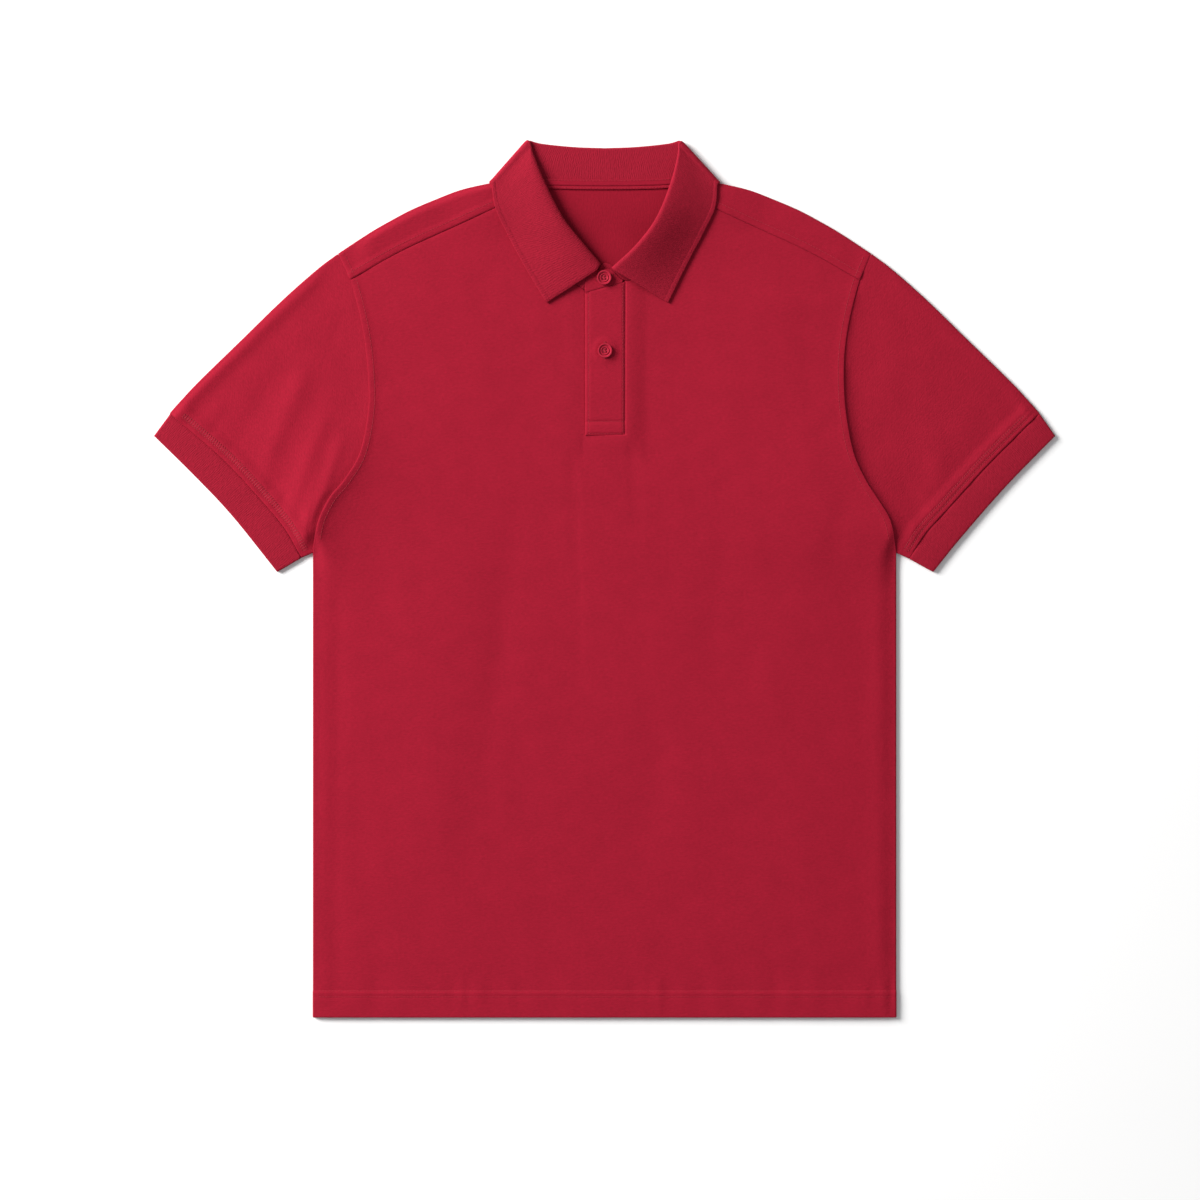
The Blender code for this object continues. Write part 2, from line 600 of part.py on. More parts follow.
def collar():
    """One ring: a front, the turn at the shoulder, the back, and the same again on the other side."""
    back = collar_back()
    halves = {}
    for side in (-1, 1):
        front = collar_front(side)
        fold = (front[0, :, :2] + back[0, :, :2]) / 2
        front[0, :, :2] = back[0, :, :2] = fold
        out = np.tile(COLLAR_OUT, (len(fold), 1)) / np.hypot(*COLLAR_OUT)
        turn = half_turn(fold, out, back[0, :, 2], front[0, :, 2], COLLAR_TURN_STEPS)
        halves[side] = mirrored(np.concatenate([front[::-1], turn[::-1], back]), side)
    ring = np.concatenate([halves[-1], halves[1][-2::-1]])
    wall("collar", ring, RIB, RED_COLLAR)


def band(name, table, height):
    table = np.array(table)
    rows = [np.column_stack([table[:, 0], table[:, 1] * (1 - t) + table[:, 2] * t]) for t in (0, 0.5, 1)]
    plan = np.stack(rows, axis=1)
    wall(name, raised(plan, np.full(plan.shape[:2], height)), BAND, RED_RIB)


# --- placket, tape and buttons ------------------------------------------------------------------


def neck_line(x):
    """y of the neck seam across the placket."""
    return 651.3 + 0.268 * x


def placket(name, left, right, base, height, thick):
    x = np.linspace(left, right, 4)
    top = neck_line(x) - GAP / 2
    share = np.linspace(0, 1, 5)[None, :]
    y = base * (1 - share) + top[:, None] * share
    plan = np.stack([np.broadcast_to(x[:, None], y.shape), y], axis=-1)
    wall(name, raised(plan, np.full(y.shape, height)), thick, RED_FRONT)


def neck_tape():
    x = np.linspace(-TAPE_HALF, TAPE_HALF, 9)
    neck = smooth(NECK_BACK)
    middle = np.interp(-np.abs(x), -neck[:, 0], neck[:, 1]) + 1.5
    across = np.linspace(-TAPE_DEEP / 2, TAPE_DEEP / 2, 3)
    plan = np.stack([np.broadcast_to(x[:, None], (9, 3)), middle[:, None] + across], axis=-1)
    wall("neck_tape", raised(plan, np.full((9, 3), TAPE_HEIGHT)), TAPE, RED_BACK)


def turned(profile, count):
    """Points and faces of a profile of radius and height turned about z, closed at both ends."""
    angle = np.linspace(0, 2 * math.pi, count, endpoint=False)
    rings = [np.column_stack([r * np.cos(angle), r * np.sin(angle), np.full(count, z)]) for r, z in profile]
    points = np.concatenate(rings)
    faces = []
    for ring in range(len(profile) - 1):
        for k in range(count):
            a, b = ring * count + k, ring * count + (k + 1) % count
            faces.append((a, b, b + count, a + count))
    return points, faces, count


def button(name, place, low):
    """A four-hole button: a flat back, a raised rim and a well with the holes."""
    radius, top = BUTTON_WIDE / 2, BUTTON_THICK
    profile = (
        (radius - 1.0, 0.0), (radius, 0.8), (radius, 1.8), (radius - 0.6, top - 0.2),
        (radius - BUTTON_RIM, top), (BUTTON_WELL / 2, top - 0.8), (BUTTON_WELL / 2 - 0.4, top - 1.0),
    )
    obj = lathe(name, profile, 28, (*place, low))
    colour(obj, RED_BUTTON, 0.4)
    holes = []
    for k in range(4):
        angle = math.radians(45 + 90 * k)
        x = place[0] + HOLE_SPREAD / math.sqrt(2) * math.cos(angle)
        y = place[1] + HOLE_SPREAD / math.sqrt(2) * math.sin(angle)
        holes.append(lathe(f"{name}_hole_{k + 1}", ((BUTTON_HOLE / 2, -1), (BUTTON_HOLE / 2, 4)), 10,
                           (x, y, low)))
    for hole in holes:
        hole.hide_render = True
        hole.display_type = "WIRE"
        cut = obj.modifiers.new(hole.name, "BOOLEAN")
        cut.operation, cut.solver, cut.object = "DIFFERENCE", "EXACT", hole


def lathe(name, profile, count, place):
    """A closed turned body at a place in the shirt's millimetres."""
    points, faces, count = turned(profile, count)
    points = points + place - (0, LENGTH / 2, 0)
    last = (len(profile) - 1) * count
    faces = faces + [tuple(range(count))[::-1], tuple(range(last, last + count))]
    mesh = bpy.data.meshes.new(name)
    mesh.from_pydata((points / 1000).tolist(), [], faces)
    mesh.polygons.foreach_set("use_smooth", [True] * len(mesh.polygons))
    mesh.set_sharp_from_angle(angle=math.radians(40))
    obj = bpy.data.objects.new(name, mesh)
    bpy.context.scene.collection.objects.link(obj)
    return obj


def main():
    for obj in list(bpy.data.objects):
        bpy.data.objects.remove(obj)
    front_panel()
    back_panel()
    for side, word in ((-1, "left"), (1, "right")):
        sleeve(side, f"sleeve_{word}")
        cuff(side, f"cuff_{word}")
    collar()
    band("collar_band_over", BAND_OVER, BAND_OVER_HEIGHT)
    band("collar_band_under", BAND_UNDER, BAND_UNDER_HEIGHT)
    placket("placket_over", PLACKET_LEFT, PLACKET_RIGHT, PLACKET_BASE, PLACKET_OVER_HEIGHT, PLACKET_WALL)
    placket("placket_under", PLACKET_LEFT + 0.2, PLACKET_RIGHT - 0.9, SLOT_BASE + GAP,
            PLACKET_UNDER_HEIGHT, CLOTH)
    neck_tape()
    button("button_top", BUTTON_TOP, BAND_OVER_HEIGHT + BAND / 2 + LAYER)
    button("button_lower", BUTTON_LOWER, PLACKET_OVER_HEIGHT + PLACKET_WALL / 2 + LAYER)


main()
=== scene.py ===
# %% [markdown]
# # A polo shirt, laid flat and face up
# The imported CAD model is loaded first, because every piece here has to lie where its solid lies.
# The cloth is made again in finer sheets on the same lines, and then come the stitches, the buttons
# and the finishes. Loading the frame first means that nothing has to be fitted afterwards.

# %% Load the frame
import math

import bmesh
import bpy
import numpy as np
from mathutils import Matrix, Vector
from mathutils.bvhtree import BVHTree


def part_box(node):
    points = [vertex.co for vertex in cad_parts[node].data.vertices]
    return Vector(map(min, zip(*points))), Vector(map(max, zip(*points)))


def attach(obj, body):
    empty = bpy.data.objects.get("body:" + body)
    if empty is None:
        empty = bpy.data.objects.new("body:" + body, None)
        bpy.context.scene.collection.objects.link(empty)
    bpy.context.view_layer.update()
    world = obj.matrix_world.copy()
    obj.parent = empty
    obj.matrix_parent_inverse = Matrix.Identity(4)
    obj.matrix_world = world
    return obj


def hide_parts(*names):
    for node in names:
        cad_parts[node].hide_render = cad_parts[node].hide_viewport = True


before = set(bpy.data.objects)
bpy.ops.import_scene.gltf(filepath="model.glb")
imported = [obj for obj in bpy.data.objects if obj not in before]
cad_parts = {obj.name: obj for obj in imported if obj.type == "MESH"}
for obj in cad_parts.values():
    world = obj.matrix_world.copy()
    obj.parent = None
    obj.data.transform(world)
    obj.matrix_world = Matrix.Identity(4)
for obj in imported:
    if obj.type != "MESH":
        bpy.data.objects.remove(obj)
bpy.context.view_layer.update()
print("CAD nodes:", ", ".join(sorted(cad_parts)))

# %% [markdown]
# ## The measures
# A maker works from a table of measures. All of these are in millimetres: y runs from the hem to the
# neck, and x is measured outward from the centre line, so that one table can serve both sides.
# Tables of points are better here than formulas, because a cut pattern follows no formula.

# %% Sizes
LENGTH = 781.3  # hem to the top of the collar
HALF_CHEST, UNDERARM = 260.0, 414.0
PIQUE, RIB, BAND, TAPE = 1.2, 1.6, 1.6, 1.0  # thickness of each cloth
GAP, LAYER = 0.12, 0.3
WALL = PIQUE / 2  # half of the body's thickness
RIM = 0.6  # how far a rounded edge reaches out, as a share of half the wall
ROUND = RIM * WALL
SEAM = GAP / 2 + ROUND
HEM_DEEP, HEM_WALL = 24.0, 1.6
SHOULDER_TURN, SIDE_TURN, TOP_TURN, ROLL = 0.9, 0.7, 1.7, 1.15
TURN_LENGTH = SIDE_TURN * math.pi / 2
SLOT_BASE, SLOT = 525.0, {-1: 17.9, 1: 18.7}
NECK_END = {-1: 648.5, 1: 656.5}
PLACKET_LEFT, PLACKET_RIGHT, PLACKET_BASE, PLACKET_WALL = -17.5, 18.3, 519.0, 1.8
COLLAR_LIFT = 2.1  # how far the leaf beneath lifts the back panel
SIDES = {"left": -1, "right": 1}
HEM_STITCHES = (18.9, 24.1)  # y of the hem's two rows of stitches
CUFF_STITCHES = (4.3, 8.9)  # how far up the sleeve the cuff's two rows lie
print(f"half chest {HALF_CHEST:.0f} mm, length {LENGTH:.0f} mm")

# %% Lines of the pattern
# y, outward x on the left, outward x on the right, from the underarm to the forward seam
ARMHOLE = (
    (414.0, 260.0, 260.0), (422.0, 259.2, 259.0), (444.5, 254.2, 254.0), (464.5, 244.2, 242.0),
    (479.5, 231.8, 232.5), (504.6, 217.5, 221.5), (544.6, 210.4, 214.5), (584.7, 211.7, 213.5),
    (619.7, 216.7, 217.8), (657.5, 226.7, 227.5),
)
SHOULDER = (
    (88.0, 747.0), (101.3, 744.0), (128.0, 738.0), (152.0, 729.0), (173.0, 720.0),
    (190.0, 711.0), (205.0, 702.5), (219.0, 693.6), (238.0, 681.0),
)
SLEEVE_TOP = (
    (238.0, 681.0), (256.5, 667.0), (287.0, 640.0), (324.0, 604.0), (360.0, 569.0),
    (377.0, 551.0), (387.4, 539.3),
)
FORWARD_SEAM = ((226.7, 657.5), (182.5, 682.6), (130.0, 706.8), (93.0, 723.6), (81.0, 729.0))
NECK_FRONT = ((81.0, 729.0), (74.5, 708.0), (57.0, 681.0), (34.0, 660.0))
NECK_BACK = ((88.0, 747.0), (60.0, 742.6), (30.0, 741.3), (0.0, 741.0))
CUFF_SEAM = {
    -1: ((270.4, 409.9), (284.2, 434.9), (306.5, 462.0), (339.5, 497.3), (387.0, 538.6)),
    1: ((271.5, 409.2), (286.5, 432.0), (306.3, 453.8), (342.0, 493.0), (387.6, 538.6)),
}
CUFF_EDGE = {
    -1: ((291.8, 397.4), (331.8, 447.3), (364.5, 482.1), (401.7, 518.8)),
    1: ((292.9, 397.4), (317.0, 427.2), (356.7, 472.6), (401.7, 518.8)),
}

# %% [markdown]
# ## Lines and heights
# Every sheet is a grid of points between lines, as a cutter lays a paper pattern out. The helpers
# below draw smooth lines, place points along them and move a line sideways by a seam's width.

# %% Lines through points
def smooth(points, steps=12):
    """A smooth line through the points, which stay at every steps-th place of it."""
    p = np.asarray(points, float)
    p = np.vstack([2 * p[0] - p[1], p, 2 * p[-1] - p[-2]])
    t = np.linspace(0, 1, steps, endpoint=False)[:, None]
    runs = []
    for a, b, c, d in zip(p[:-3], p[1:-2], p[2:-1], p[3:]):
        bend = (2 * a - 5 * b + 4 * c - d) * t**2 + (3 * b - a - 3 * c + d) * t**3
        runs.append(0.5 * (2 * b + (c - a) * t + bend))
    return np.vstack(runs + [p[-2:-1]])


def lengths(line):
    steps = np.linalg.norm(np.diff(line, axis=0), axis=1)
    return np.concatenate([[0.0], np.cumsum(steps)])


def spaced(line, fractions):
    """The points at these fractions of a line's length."""
    line = np.asarray(line, float)
    along = lengths(line)
    wanted = np.asarray(fractions, float) * along[-1]
    return np.column_stack([np.interp(wanted, along, column) for column in line.T])


def even(line, steps):
    return spaced(line, np.linspace(0, 1, steps + 1))


def graded(start, end, steps, first=(), last=()):
    """Places from start to end, graded in the same way as the points of a spread line."""
    near = start + np.array((0.0, *first))
    far = end - np.array((0.0, *last))[::-1]
    rest = np.linspace(near[-1], far[0], steps - len(first) - len(last) + 1)[1:-1]
    return np.concatenate([near, rest, far])


def spread(line, steps, first=(), last=()):
    """Points along a line, with these small distances from either end and even ones between."""
    total = lengths(line)[-1]
    return spaced(line, graded(0, total, steps, first, last) / total)


# %% Lines moved sideways, and smooth steps
def rights(line):
    """Unit vectors to the right of a line's direction, in plan."""
    way = np.gradient(np.asarray(line, float)[:, :2], axis=0)
    way /= np.linalg.norm(way, axis=1, keepdims=True)
    return np.column_stack([way[:, 1], -way[:, 0]])


def moved(line, distance):
    """The line moved to its right."""
    return line + rights(line) * distance


def ease(value, start, end):
    """A smooth step: 0 before the start and 1 past the end."""
    t = np.clip((np.asarray(value, float) - start) / (end - start), 0, 1)
    return t * t * (3 - 2 * t)


def plateau(value, start, full, fall, end):
    """Rises from 0 to 1 between start and full, and sinks again between fall and end."""
    return ease(value, start, full) * (1 - ease(value, fall, end))


def bell(value, middle, width):
    """A smooth ridge, 1 high at its middle and about a third of that at one width from it."""
    return np.exp(-(((value - middle) / width) ** 2))


# %% Grids between lines
def blend(first, last, share):
    """Straight lines between two rows of points, cut at these shares."""
    share = np.asarray(share, float)[:, None, None]
    return first[None] * (1 - share) + last[None] * share


def bulge(line):
    """How far a line's points lie from the straight line between its ends."""
    share = lengths(line) / lengths(line)[-1]
    return line - (line[0] * (1 - share[:, None]) + line[-1] * share[:, None])


def nearest(x, y, line):
    """How far each point is from a line in plan, and how far along the line that is."""
    best, place = np.full(x.shape, np.inf), np.zeros(x.shape)
    ways = np.diff(line, axis=0)
    for (x0, y0), (wx, wy), before in zip(line[:-1, :2], ways[:, :2], lengths(line)):
        run = np.hypot(wx, wy)
        share = np.clip(((x - x0) * wx + (y - y0) * wy) / run**2, 0, 1)
        far = np.hypot(x - x0 - share * wx, y - y0 - share * wy)
        place = np.where(far < best, before + share * run, place)
        best = np.minimum(far, best)
    return best, place


# %% The seam lines
def shoulder_fold():
    return moved(smooth(SHOULDER), SHOULDER_TURN + WALL)


def armhole(side):
    """The armhole in two parts: underarm to forward seam, and on to the shoulder's fold."""
    table = np.array(ARMHOLE)
    points = np.column_stack([table[:, 1 if side < 0 else 2], table[:, 0]])
    top = shoulder_fold()[-1]
    line = smooth(np.vstack([points, top]))
    cut = 12 * (len(points) - 1)
    return line[: cut + 1], np.vstack([line[cut], top])


def forward_seam(side):
    return smooth(np.vstack([armhole(side)[0][-1], FORWARD_SEAM[1:]]))


def neck_front(side):
    return smooth(NECK_FRONT + ((SLOT[side], NECK_END[side]),))


def neck_back(x):
    """y of the back neckline."""
    line = smooth(NECK_BACK)
    return np.interp(-np.abs(x), -line[:, 0], line[:, 1])


print(f"armhole {lengths(armhole(-1)[0])[-1]:.0f} mm, forward seam {lengths(forward_seam(-1))[-1]:.0f} mm")

# %% [markdown]
# ## Folds
# A shirt laid by hand is never quite flat. Its long folds are soft, and they are placed here one by
# one: two ends, a half width and a height. A cloth simulation could make folds, but not the ones that
# this shirt has. Along every row of stitches the cloth also puckers a little, unevenly.

# %% The folds, one by one
# x, y of both ends, half width, height (a trough is below nought)
FRONT_FOLDS = (
    (-81.0, 430.0, -98.0, 290.0, 13.0, -0.5), (-102.0, 262.0, -110.0, 220.0, 18.0, -0.35),
    (-156.0, 420.0, -160.0, 170.0, 48.0, 1.0),
    (-21.0, 508.0, -13.0, 300.0, 7.0, 0.25), (-28.0, 500.0, -20.0, 330.0, 6.0, -0.25),
    (24.0, 505.0, 28.0, 450.0, 7.0, -0.35), (103.0, 410.0, 94.0, 330.0, 14.0, -0.35),
    (49.0, 255.0, 42.0, 170.0, 14.0, -0.4), (170.0, 430.0, 176.0, 120.0, 50.0, 0.7),
    (-238.0, 372.0, -240.0, 40.0, 6.5, -0.45), (244.0, 400.0, 246.0, 60.0, 10.0, 0.5),
    (-238.0, 70.0, -224.0, 30.0, 26.0, -0.5), (-150.0, 640.0, -120.0, 560.0, 34.0, 0.5),
    (150.0, 640.0, 124.0, 560.0, 34.0, 0.5), (24.0, 170.0, 22.0, 120.0, 12.0, -0.3),
    (216.0, 462.0, 206.0, 420.0, 12.0, -0.4), (-40.0, 110.0, -120.0, 96.0, 14.0, 0.3),
)
SLEEVE_FOLDS = {
    -1: (
        (-274.0, 560.0, -307.0, 480.0, 9.5, 1.15), (-255.0, 520.0, -281.0, 452.0, 8.0, 1.0),
        (-236.0, 508.0, -257.0, 452.0, 6.0, 0.6), (-300.0, 560.0, -336.0, 500.0, 10.0, -0.5),
        (-228.0, 634.0, -240.0, 606.0, 5.0, -0.6), (-250.0, 640.0, -262.0, 628.0, 6.0, -0.4),
        (-345.0, 542.0, -352.0, 528.0, 5.0, 0.5),
    ),
    1: (
        (300.0, 490.0, 314.0, 450.0, 13.0, 0.8), (272.0, 470.0, 290.0, 436.0, 9.0, -0.5),
        (348.0, 575.0, 378.0, 553.0, 9.0, -0.6), (366.0, 540.0, 384.0, 540.0, 6.0, 0.7),
        (252.0, 640.0, 268.0, 622.0, 8.0, -0.5), (290.0, 560.0, 330.0, 520.0, 16.0, 0.4),
    ),
}
BACK_FOLDS = (
    (-120.0, 380.0, -150.0, 180.0, 26.0, 0.35), (60.0, 340.0, 90.0, 150.0, 22.0, 0.3),
    (190.0, 430.0, 150.0, 300.0, 20.0, 0.3), (-30.0, 690.0, -20.0, 640.0, 12.0, 0.3),
    (20.0, 700.0, 34.0, 640.0, 10.0, 0.25),
)


# %% Long folds
def folds(x, y, table):
    """The height that a table's long soft folds add at these points."""
    total = np.zeros_like(x)
    for x0, y0, x1, y1, half_width, height in table:
        run = np.hypot(x1 - x0, y1 - y0)
        way = np.array([x1 - x0, y1 - y0]) / run
        along = (x - x0) * way[0] + (y - y0) * way[1]
        across = (x - x0) * way[1] - (y - y0) * way[0]
        past = np.maximum(0, np.maximum(-along, along - run)) / (2.2 * half_width)
        total += height * np.exp(-((across / half_width) ** 2) - past**2)
    return total


# %% Puckers and waviness
def uneven(place, seed, spacing):
    """Smooth values from -1 to 1 along a line, unevenly spaced, and the same on every run."""
    rng = np.random.default_rng(seed)
    values = rng.uniform(-1, 1, 600)
    spots = np.cumsum(rng.uniform(0.6, 1.4, 600)) * spacing - 20 * spacing
    step = np.interp(place, spots, np.arange(600))
    low = np.clip(step.astype(int), 0, 598)
    t = step - low
    t = t * t * (3 - 2 * t)
    return values[low] * (1 - t) + values[low + 1] * t


def puckers(place, far, seed, spacing, reach, height):
    """Short ridges across a row of stitches, strongest beside it."""
    longer = reach * (1 + 0.5 * uneven(place, seed + 1, 3 * spacing))
    return height * uneven(place, seed, spacing) * bell(far, 0, longer)


def waviness(x, y, seed):
    """The faint unevenness of cloth that has been worn and washed."""
    rng = np.random.default_rng(seed)
    total = np.zeros_like(x)
    for size in (95.0, 70.0, 52.0, 40.0, 31.0, 24.0):
        angle, phase = rng.uniform(0, math.pi), rng.uniform(0, 2 * math.pi)
        along = x * math.cos(angle) + y * math.sin(angle)
        total += size / 95 * np.sin(along * 2 * math.pi / size + phase)
    return total


# %% The relief beside a seam
# the mound along an armhole, for each side: height low down and at the top, the span in which it
# sinks from the one to the other, how far it reaches over the body and over the sleeve, and the
# share of its height that the sleeve's edge has
MOUND = {
    -1: (6.8, 0.6, 455.0, 575.0, 25.0, 80.0, 0.72),
    1: (4.6, 1.1, 450.0, 650.0, 110.0, 6.5, 0.92),
}
CLOTH_WAVE = 0.09  # how high the waviness is on the body and the sleeves


def sewn_edge(far, width, height):
    """Across a seam with its turnings pressed to this side: raised, then a dip along the stitches."""
    raised_part = plateau(far, 0.0, 1.6, width - 0.6, width + 3.4)
    return height * (raised_part - 0.3 * bell(far, width, 0.7))


def mound(far, y, side, on_body):
    """The low mound along an armhole, where turnings and folds push it up. It falls steeply from the
    seam on its side away from the window, and gently on the other."""
    low, high, start, end, over_body, over_sleeve, share = MOUND[side]
    reach = over_body if on_body else over_sleeve
    slope = np.exp(-far / reach) if (side < 0) == on_body else bell(far, 0, reach)
    rise = ease(y, 375, 440) if on_body else share * ease(y, 402, 445)
    return (low + (high - low) * ease(y, start, end)) * slope * rise * (1 - ease(y, 636, 656))


# %% Heights of the body's cloth
def hem_wall(y):
    """Thickness of the body's wall, which is doubled by the hem's turn-up."""
    return HEM_WALL - (HEM_WALL - PIQUE) * ease(y, HEM_DEEP - 1, HEM_DEEP + 1)


def hem_rise(y):
    """How far the hem's thicker wall lifts its own middle."""
    return (HEM_WALL - PIQUE) / 2 * (1 - ease(y, HEM_DEEP - 1, HEM_DEEP + 1))


def back_height(x, y):
    """Middle of the back's wall, which the collar's leaf beneath it lifts at the neck."""
    near_neck = ease(y, 690, 722) * (1 - ease(np.abs(x), 104, 152))
    calm = ease(y, 30, 90) * ease(HALF_CHEST - np.abs(x), 20, 60)
    return WALL + hem_rise(y) + COLLAR_LIFT * near_neck + folds(x, y, BACK_FOLDS) * calm


def off_sides(x, y):
    """0 at the body's pressed sides below the armholes, and 1 away from them."""
    return np.clip(ease(HALF_CHEST - np.abs(x), 1, 16) + ease(y, 405, 440), 0, 1)


def front_height(x, y):
    """Middle of the front's wall without its seams: lofted off the back, low at its sides and slot."""
    slot = np.maximum(ease(np.abs(x), 17, 34), 1 - ease(y, 470, 520))
    form = folds(x, y, FRONT_FOLDS) + CLOTH_WAVE * waviness(x, y, 5)
    loft = np.maximum(0.55 + form * plateau(y, 10, 60, 640, 700), -0.2)
    return back_height(x, y) + 2 * SHOULDER_TURN + hem_rise(y) + off_sides(x, y) * slot * loft


# %% [markdown]
# ## The photograph's view and the light
# The shirt was photographed from straight above on a white table, so the camera looks straight down.
# One large soft light stands low on the left, and its low angle is what shows the folds, the step at
# each seam and the roll of the collar. The white surroundings fill the shadows.

# %% Camera
PIXEL = 0.892  # millimetres in one pixel of a 1200-pixel frame
LENS, SENSOR = 100.0, 36.0
camera_data = bpy.data.cameras.new("overhead_camera")
camera_data.lens, camera_data.sensor_width = LENS, SENSOR
camera_data.clip_end = 20
camera = bpy.data.objects.new("overhead_camera", camera_data)
camera.location = (-0.0041, -0.0182, PIXEL * 1.2 * LENS / SENSOR)
bpy.context.scene.collection.objects.link(camera)
bpy.context.scene.camera = camera
print(f"camera {camera.location.z:.2f} m above the table")


# %% Lights and surroundings
def soft_light(name, place, size, power, tint):
    light = bpy.data.lights.new(name, "AREA")
    light.shape, light.size, light.energy, light.color = "DISK", size, power, tint
    lamp = bpy.data.objects.new(name, light)
    lamp.location = place
    lamp.rotation_euler = Vector(place).to_track_quat("Z", "Y").to_euler()
    bpy.context.scene.collection.objects.link(lamp)


soft_light("window_light", (-3.8, 2.05, 2.2), 2.8, 500.0, (1.0, 0.985, 0.97))
soft_light("fill_light", (1.8, -1.6, 2.6), 2.5, 5.0, (0.97, 0.985, 1.0))

world = bpy.data.worlds.new("white_room")
world.use_nodes = True
world.node_tree.nodes["Background"].inputs["Color"].default_value = (0.96, 0.98, 1.0, 1.0)
world.node_tree.nodes["Background"].inputs["Strength"].default_value = 0.34
bpy.context.scene.world = world
bpy.context.scene.view_settings.view_transform = "Standard"

# %% [markdown]
# ## Finishes
# The body is pique: a knit with small raised cells in staggered rows, so two waves that cross make
# its bump. The collar and cuffs are flat knit, with fine ribs. Both are matt, with a faint sheen
# from loose fibres. Each cloth reads its own UV map, in metres of cloth, so the knit turns with the
# sleeve and bends with the collar.

# %% Colours and nodes
def linear(byte):
    """A screen colour's value, from 0 to 255, as the amount of light that a shader wants."""
    value = byte / 255
    return value / 12.92 if value <= 0.04045 else ((value + 0.055) / 1.055) ** 2.4


def tint(rgb, share=1.0):
    return [linear(byte) * share for byte in rgb] + [1.0]


def node(tree, kind, inputs, **settings):
    """Adds a node. An input is a value, or another node's output to link."""
    made = tree.nodes.new("ShaderNode" + kind)
    for key, value in settings.items():
        setattr(made, key, value)
    for key, value in inputs.items():
        if isinstance(value, bpy.types.NodeSocket):
            tree.links.new(value, made.inputs[key])
        else:
            made.inputs[key].default_value = value
    return made


def maths(tree, operation, first, second=0.0):
    return node(tree, "Math", {0: first, 1: second}, operation=operation).outputs[0]


def weighed(tree, parts, level=0.0):
    """The sum of some patterns, each times its share, and a level."""
    total = level
    for pattern, share in parts:
        total = maths(tree, "ADD", total, maths(tree, "MULTIPLY", pattern, share))
    return total


def mixed(tree, share, first, second):
    mix = node(tree, "Mix", {0: share, 6: first, 7: second}, data_type="RGBA")
    return mix.outputs[2]


# %% A finish and its patterns
def plain_finish(name, roughness, sheen=0.0, specular=0.5):
    """A material whose even values sit on the shader's own sockets."""
    material = bpy.data.materials.new(name)
    material.use_nodes = True
    shader = material.node_tree.nodes["Principled BSDF"]
    for socket, value in (
        ("Roughness", roughness), ("Sheen Weight", sheen), ("Sheen Roughness", 0.45),
        ("Specular IOR Level", specular),
    ):
        shader.inputs[socket].default_value = value
    shader.inputs["Sheen Tint"].default_value = (1.0, 0.45, 0.5, 1.0)
    return material, material.node_tree, shader


def noise(tree, place, scale, detail=3.0):
    """A cloudy pattern, with about this many clouds to a metre."""
    return node(tree, "TexNoise", {"Vector": place, "Scale": scale, "Detail": detail}).outputs[0]


def relief(tree, height, strength, rise):
    """Turns a pattern into fine relief, which rises this far in metres."""
    return node(tree, "Bump", {"Strength": strength, "Distance": rise, "Height": height}).outputs[0]


def dress(tree, shader, colour, rough=None, bump=None):
    """Links the patterns of a finish to its shader."""
    for socket, pattern in (("Base Color", colour), ("Roughness", rough), ("Normal", bump)):
        if pattern is not None:
            tree.links.new(pattern, shader.inputs[socket])


# %% Knitted cloth
STRAY = (0.0036, 0.0036, 0.0)  # how far apart, in metres, the places lie between which a row wanders


def knit(name, rgb, across, along, rise, ribbed=False, contrast=0.28):
    """A knit with cells this far apart across and along, in metres, and bumps this high."""
    material, tree, shader = plain_finish(name, 0.84, sheen=0.02, specular=0.07)
    place = node(tree, "UVMap", {}, uv_map="cloth").outputs[0]
    waver = noise(tree, place, 70.0).node.outputs[1]
    shift = node(tree, "VectorMath", {0: waver, 1: (-0.5, -0.5, -0.5)}, operation="ADD").outputs[0]
    bent = node(tree, "VectorMath", {0: shift, 1: STRAY, 2: place}, operation="MULTIPLY_ADD")
    parts = node(tree, "SeparateXYZ", {0: bent.outputs[0]})
    wave_across, wave_along = (
        maths(tree, "COSINE", maths(tree, "MULTIPLY", parts.outputs[k], 2 * math.pi / size))
        for k, size in enumerate((across, along))
    )
    if ribbed:
        cells = maths(tree, "ADD", wave_across, maths(tree, "MULTIPLY", wave_along, 0.35))
    else:
        cells = maths(tree, "MULTIPLY", wave_across, wave_along)
    drawn = (900.0, 260.0, 1.0) if ribbed else (240.0, 820.0, 1.0)
    rows = node(tree, "VectorMath", {0: bent.outputs[0], 1: drawn}, operation="MULTIPLY").outputs[0]
    courses = noise(tree, rows, 1.0, 2.0)
    yarn, patches, specks = (noise(tree, place, scale) for scale in (1700.0, 55.0, 420.0))
    height = weighed(tree, ((cells, 0.12), (courses, 1.1), (yarn, 0.9)))
    # cells, courses and yarn also make the bump, so the colour is darker in the knit's hollows, which is
    # painted shade; patches and specks are the yarn's own uneven tone
    tone_and_hollow_shade = ((cells, 0.05), (courses, 0.5), (yarn, 0.4), (patches, 0.3), (specks, 0.6))
    share = weighed(tree, tone_and_hollow_shade, -0.4)
    colour = mixed(tree, share, tint(rgb, 1 - contrast), tint(rgb, 1 + contrast))
    rough = maths(tree, "MULTIPLY_ADD", specks, 0.16)
    rough.node.inputs[2].default_value = 0.74
    dress(tree, shader, colour, rough, relief(tree, height, 0.8, rise))
    return material


# %% The shirt's four knits
PIQUE_RED, RIB_RED = (151, 23, 44), (148, 24, 44)
pique = knit("red_pique", PIQUE_RED, 0.0023, 0.0019, 0.0003)
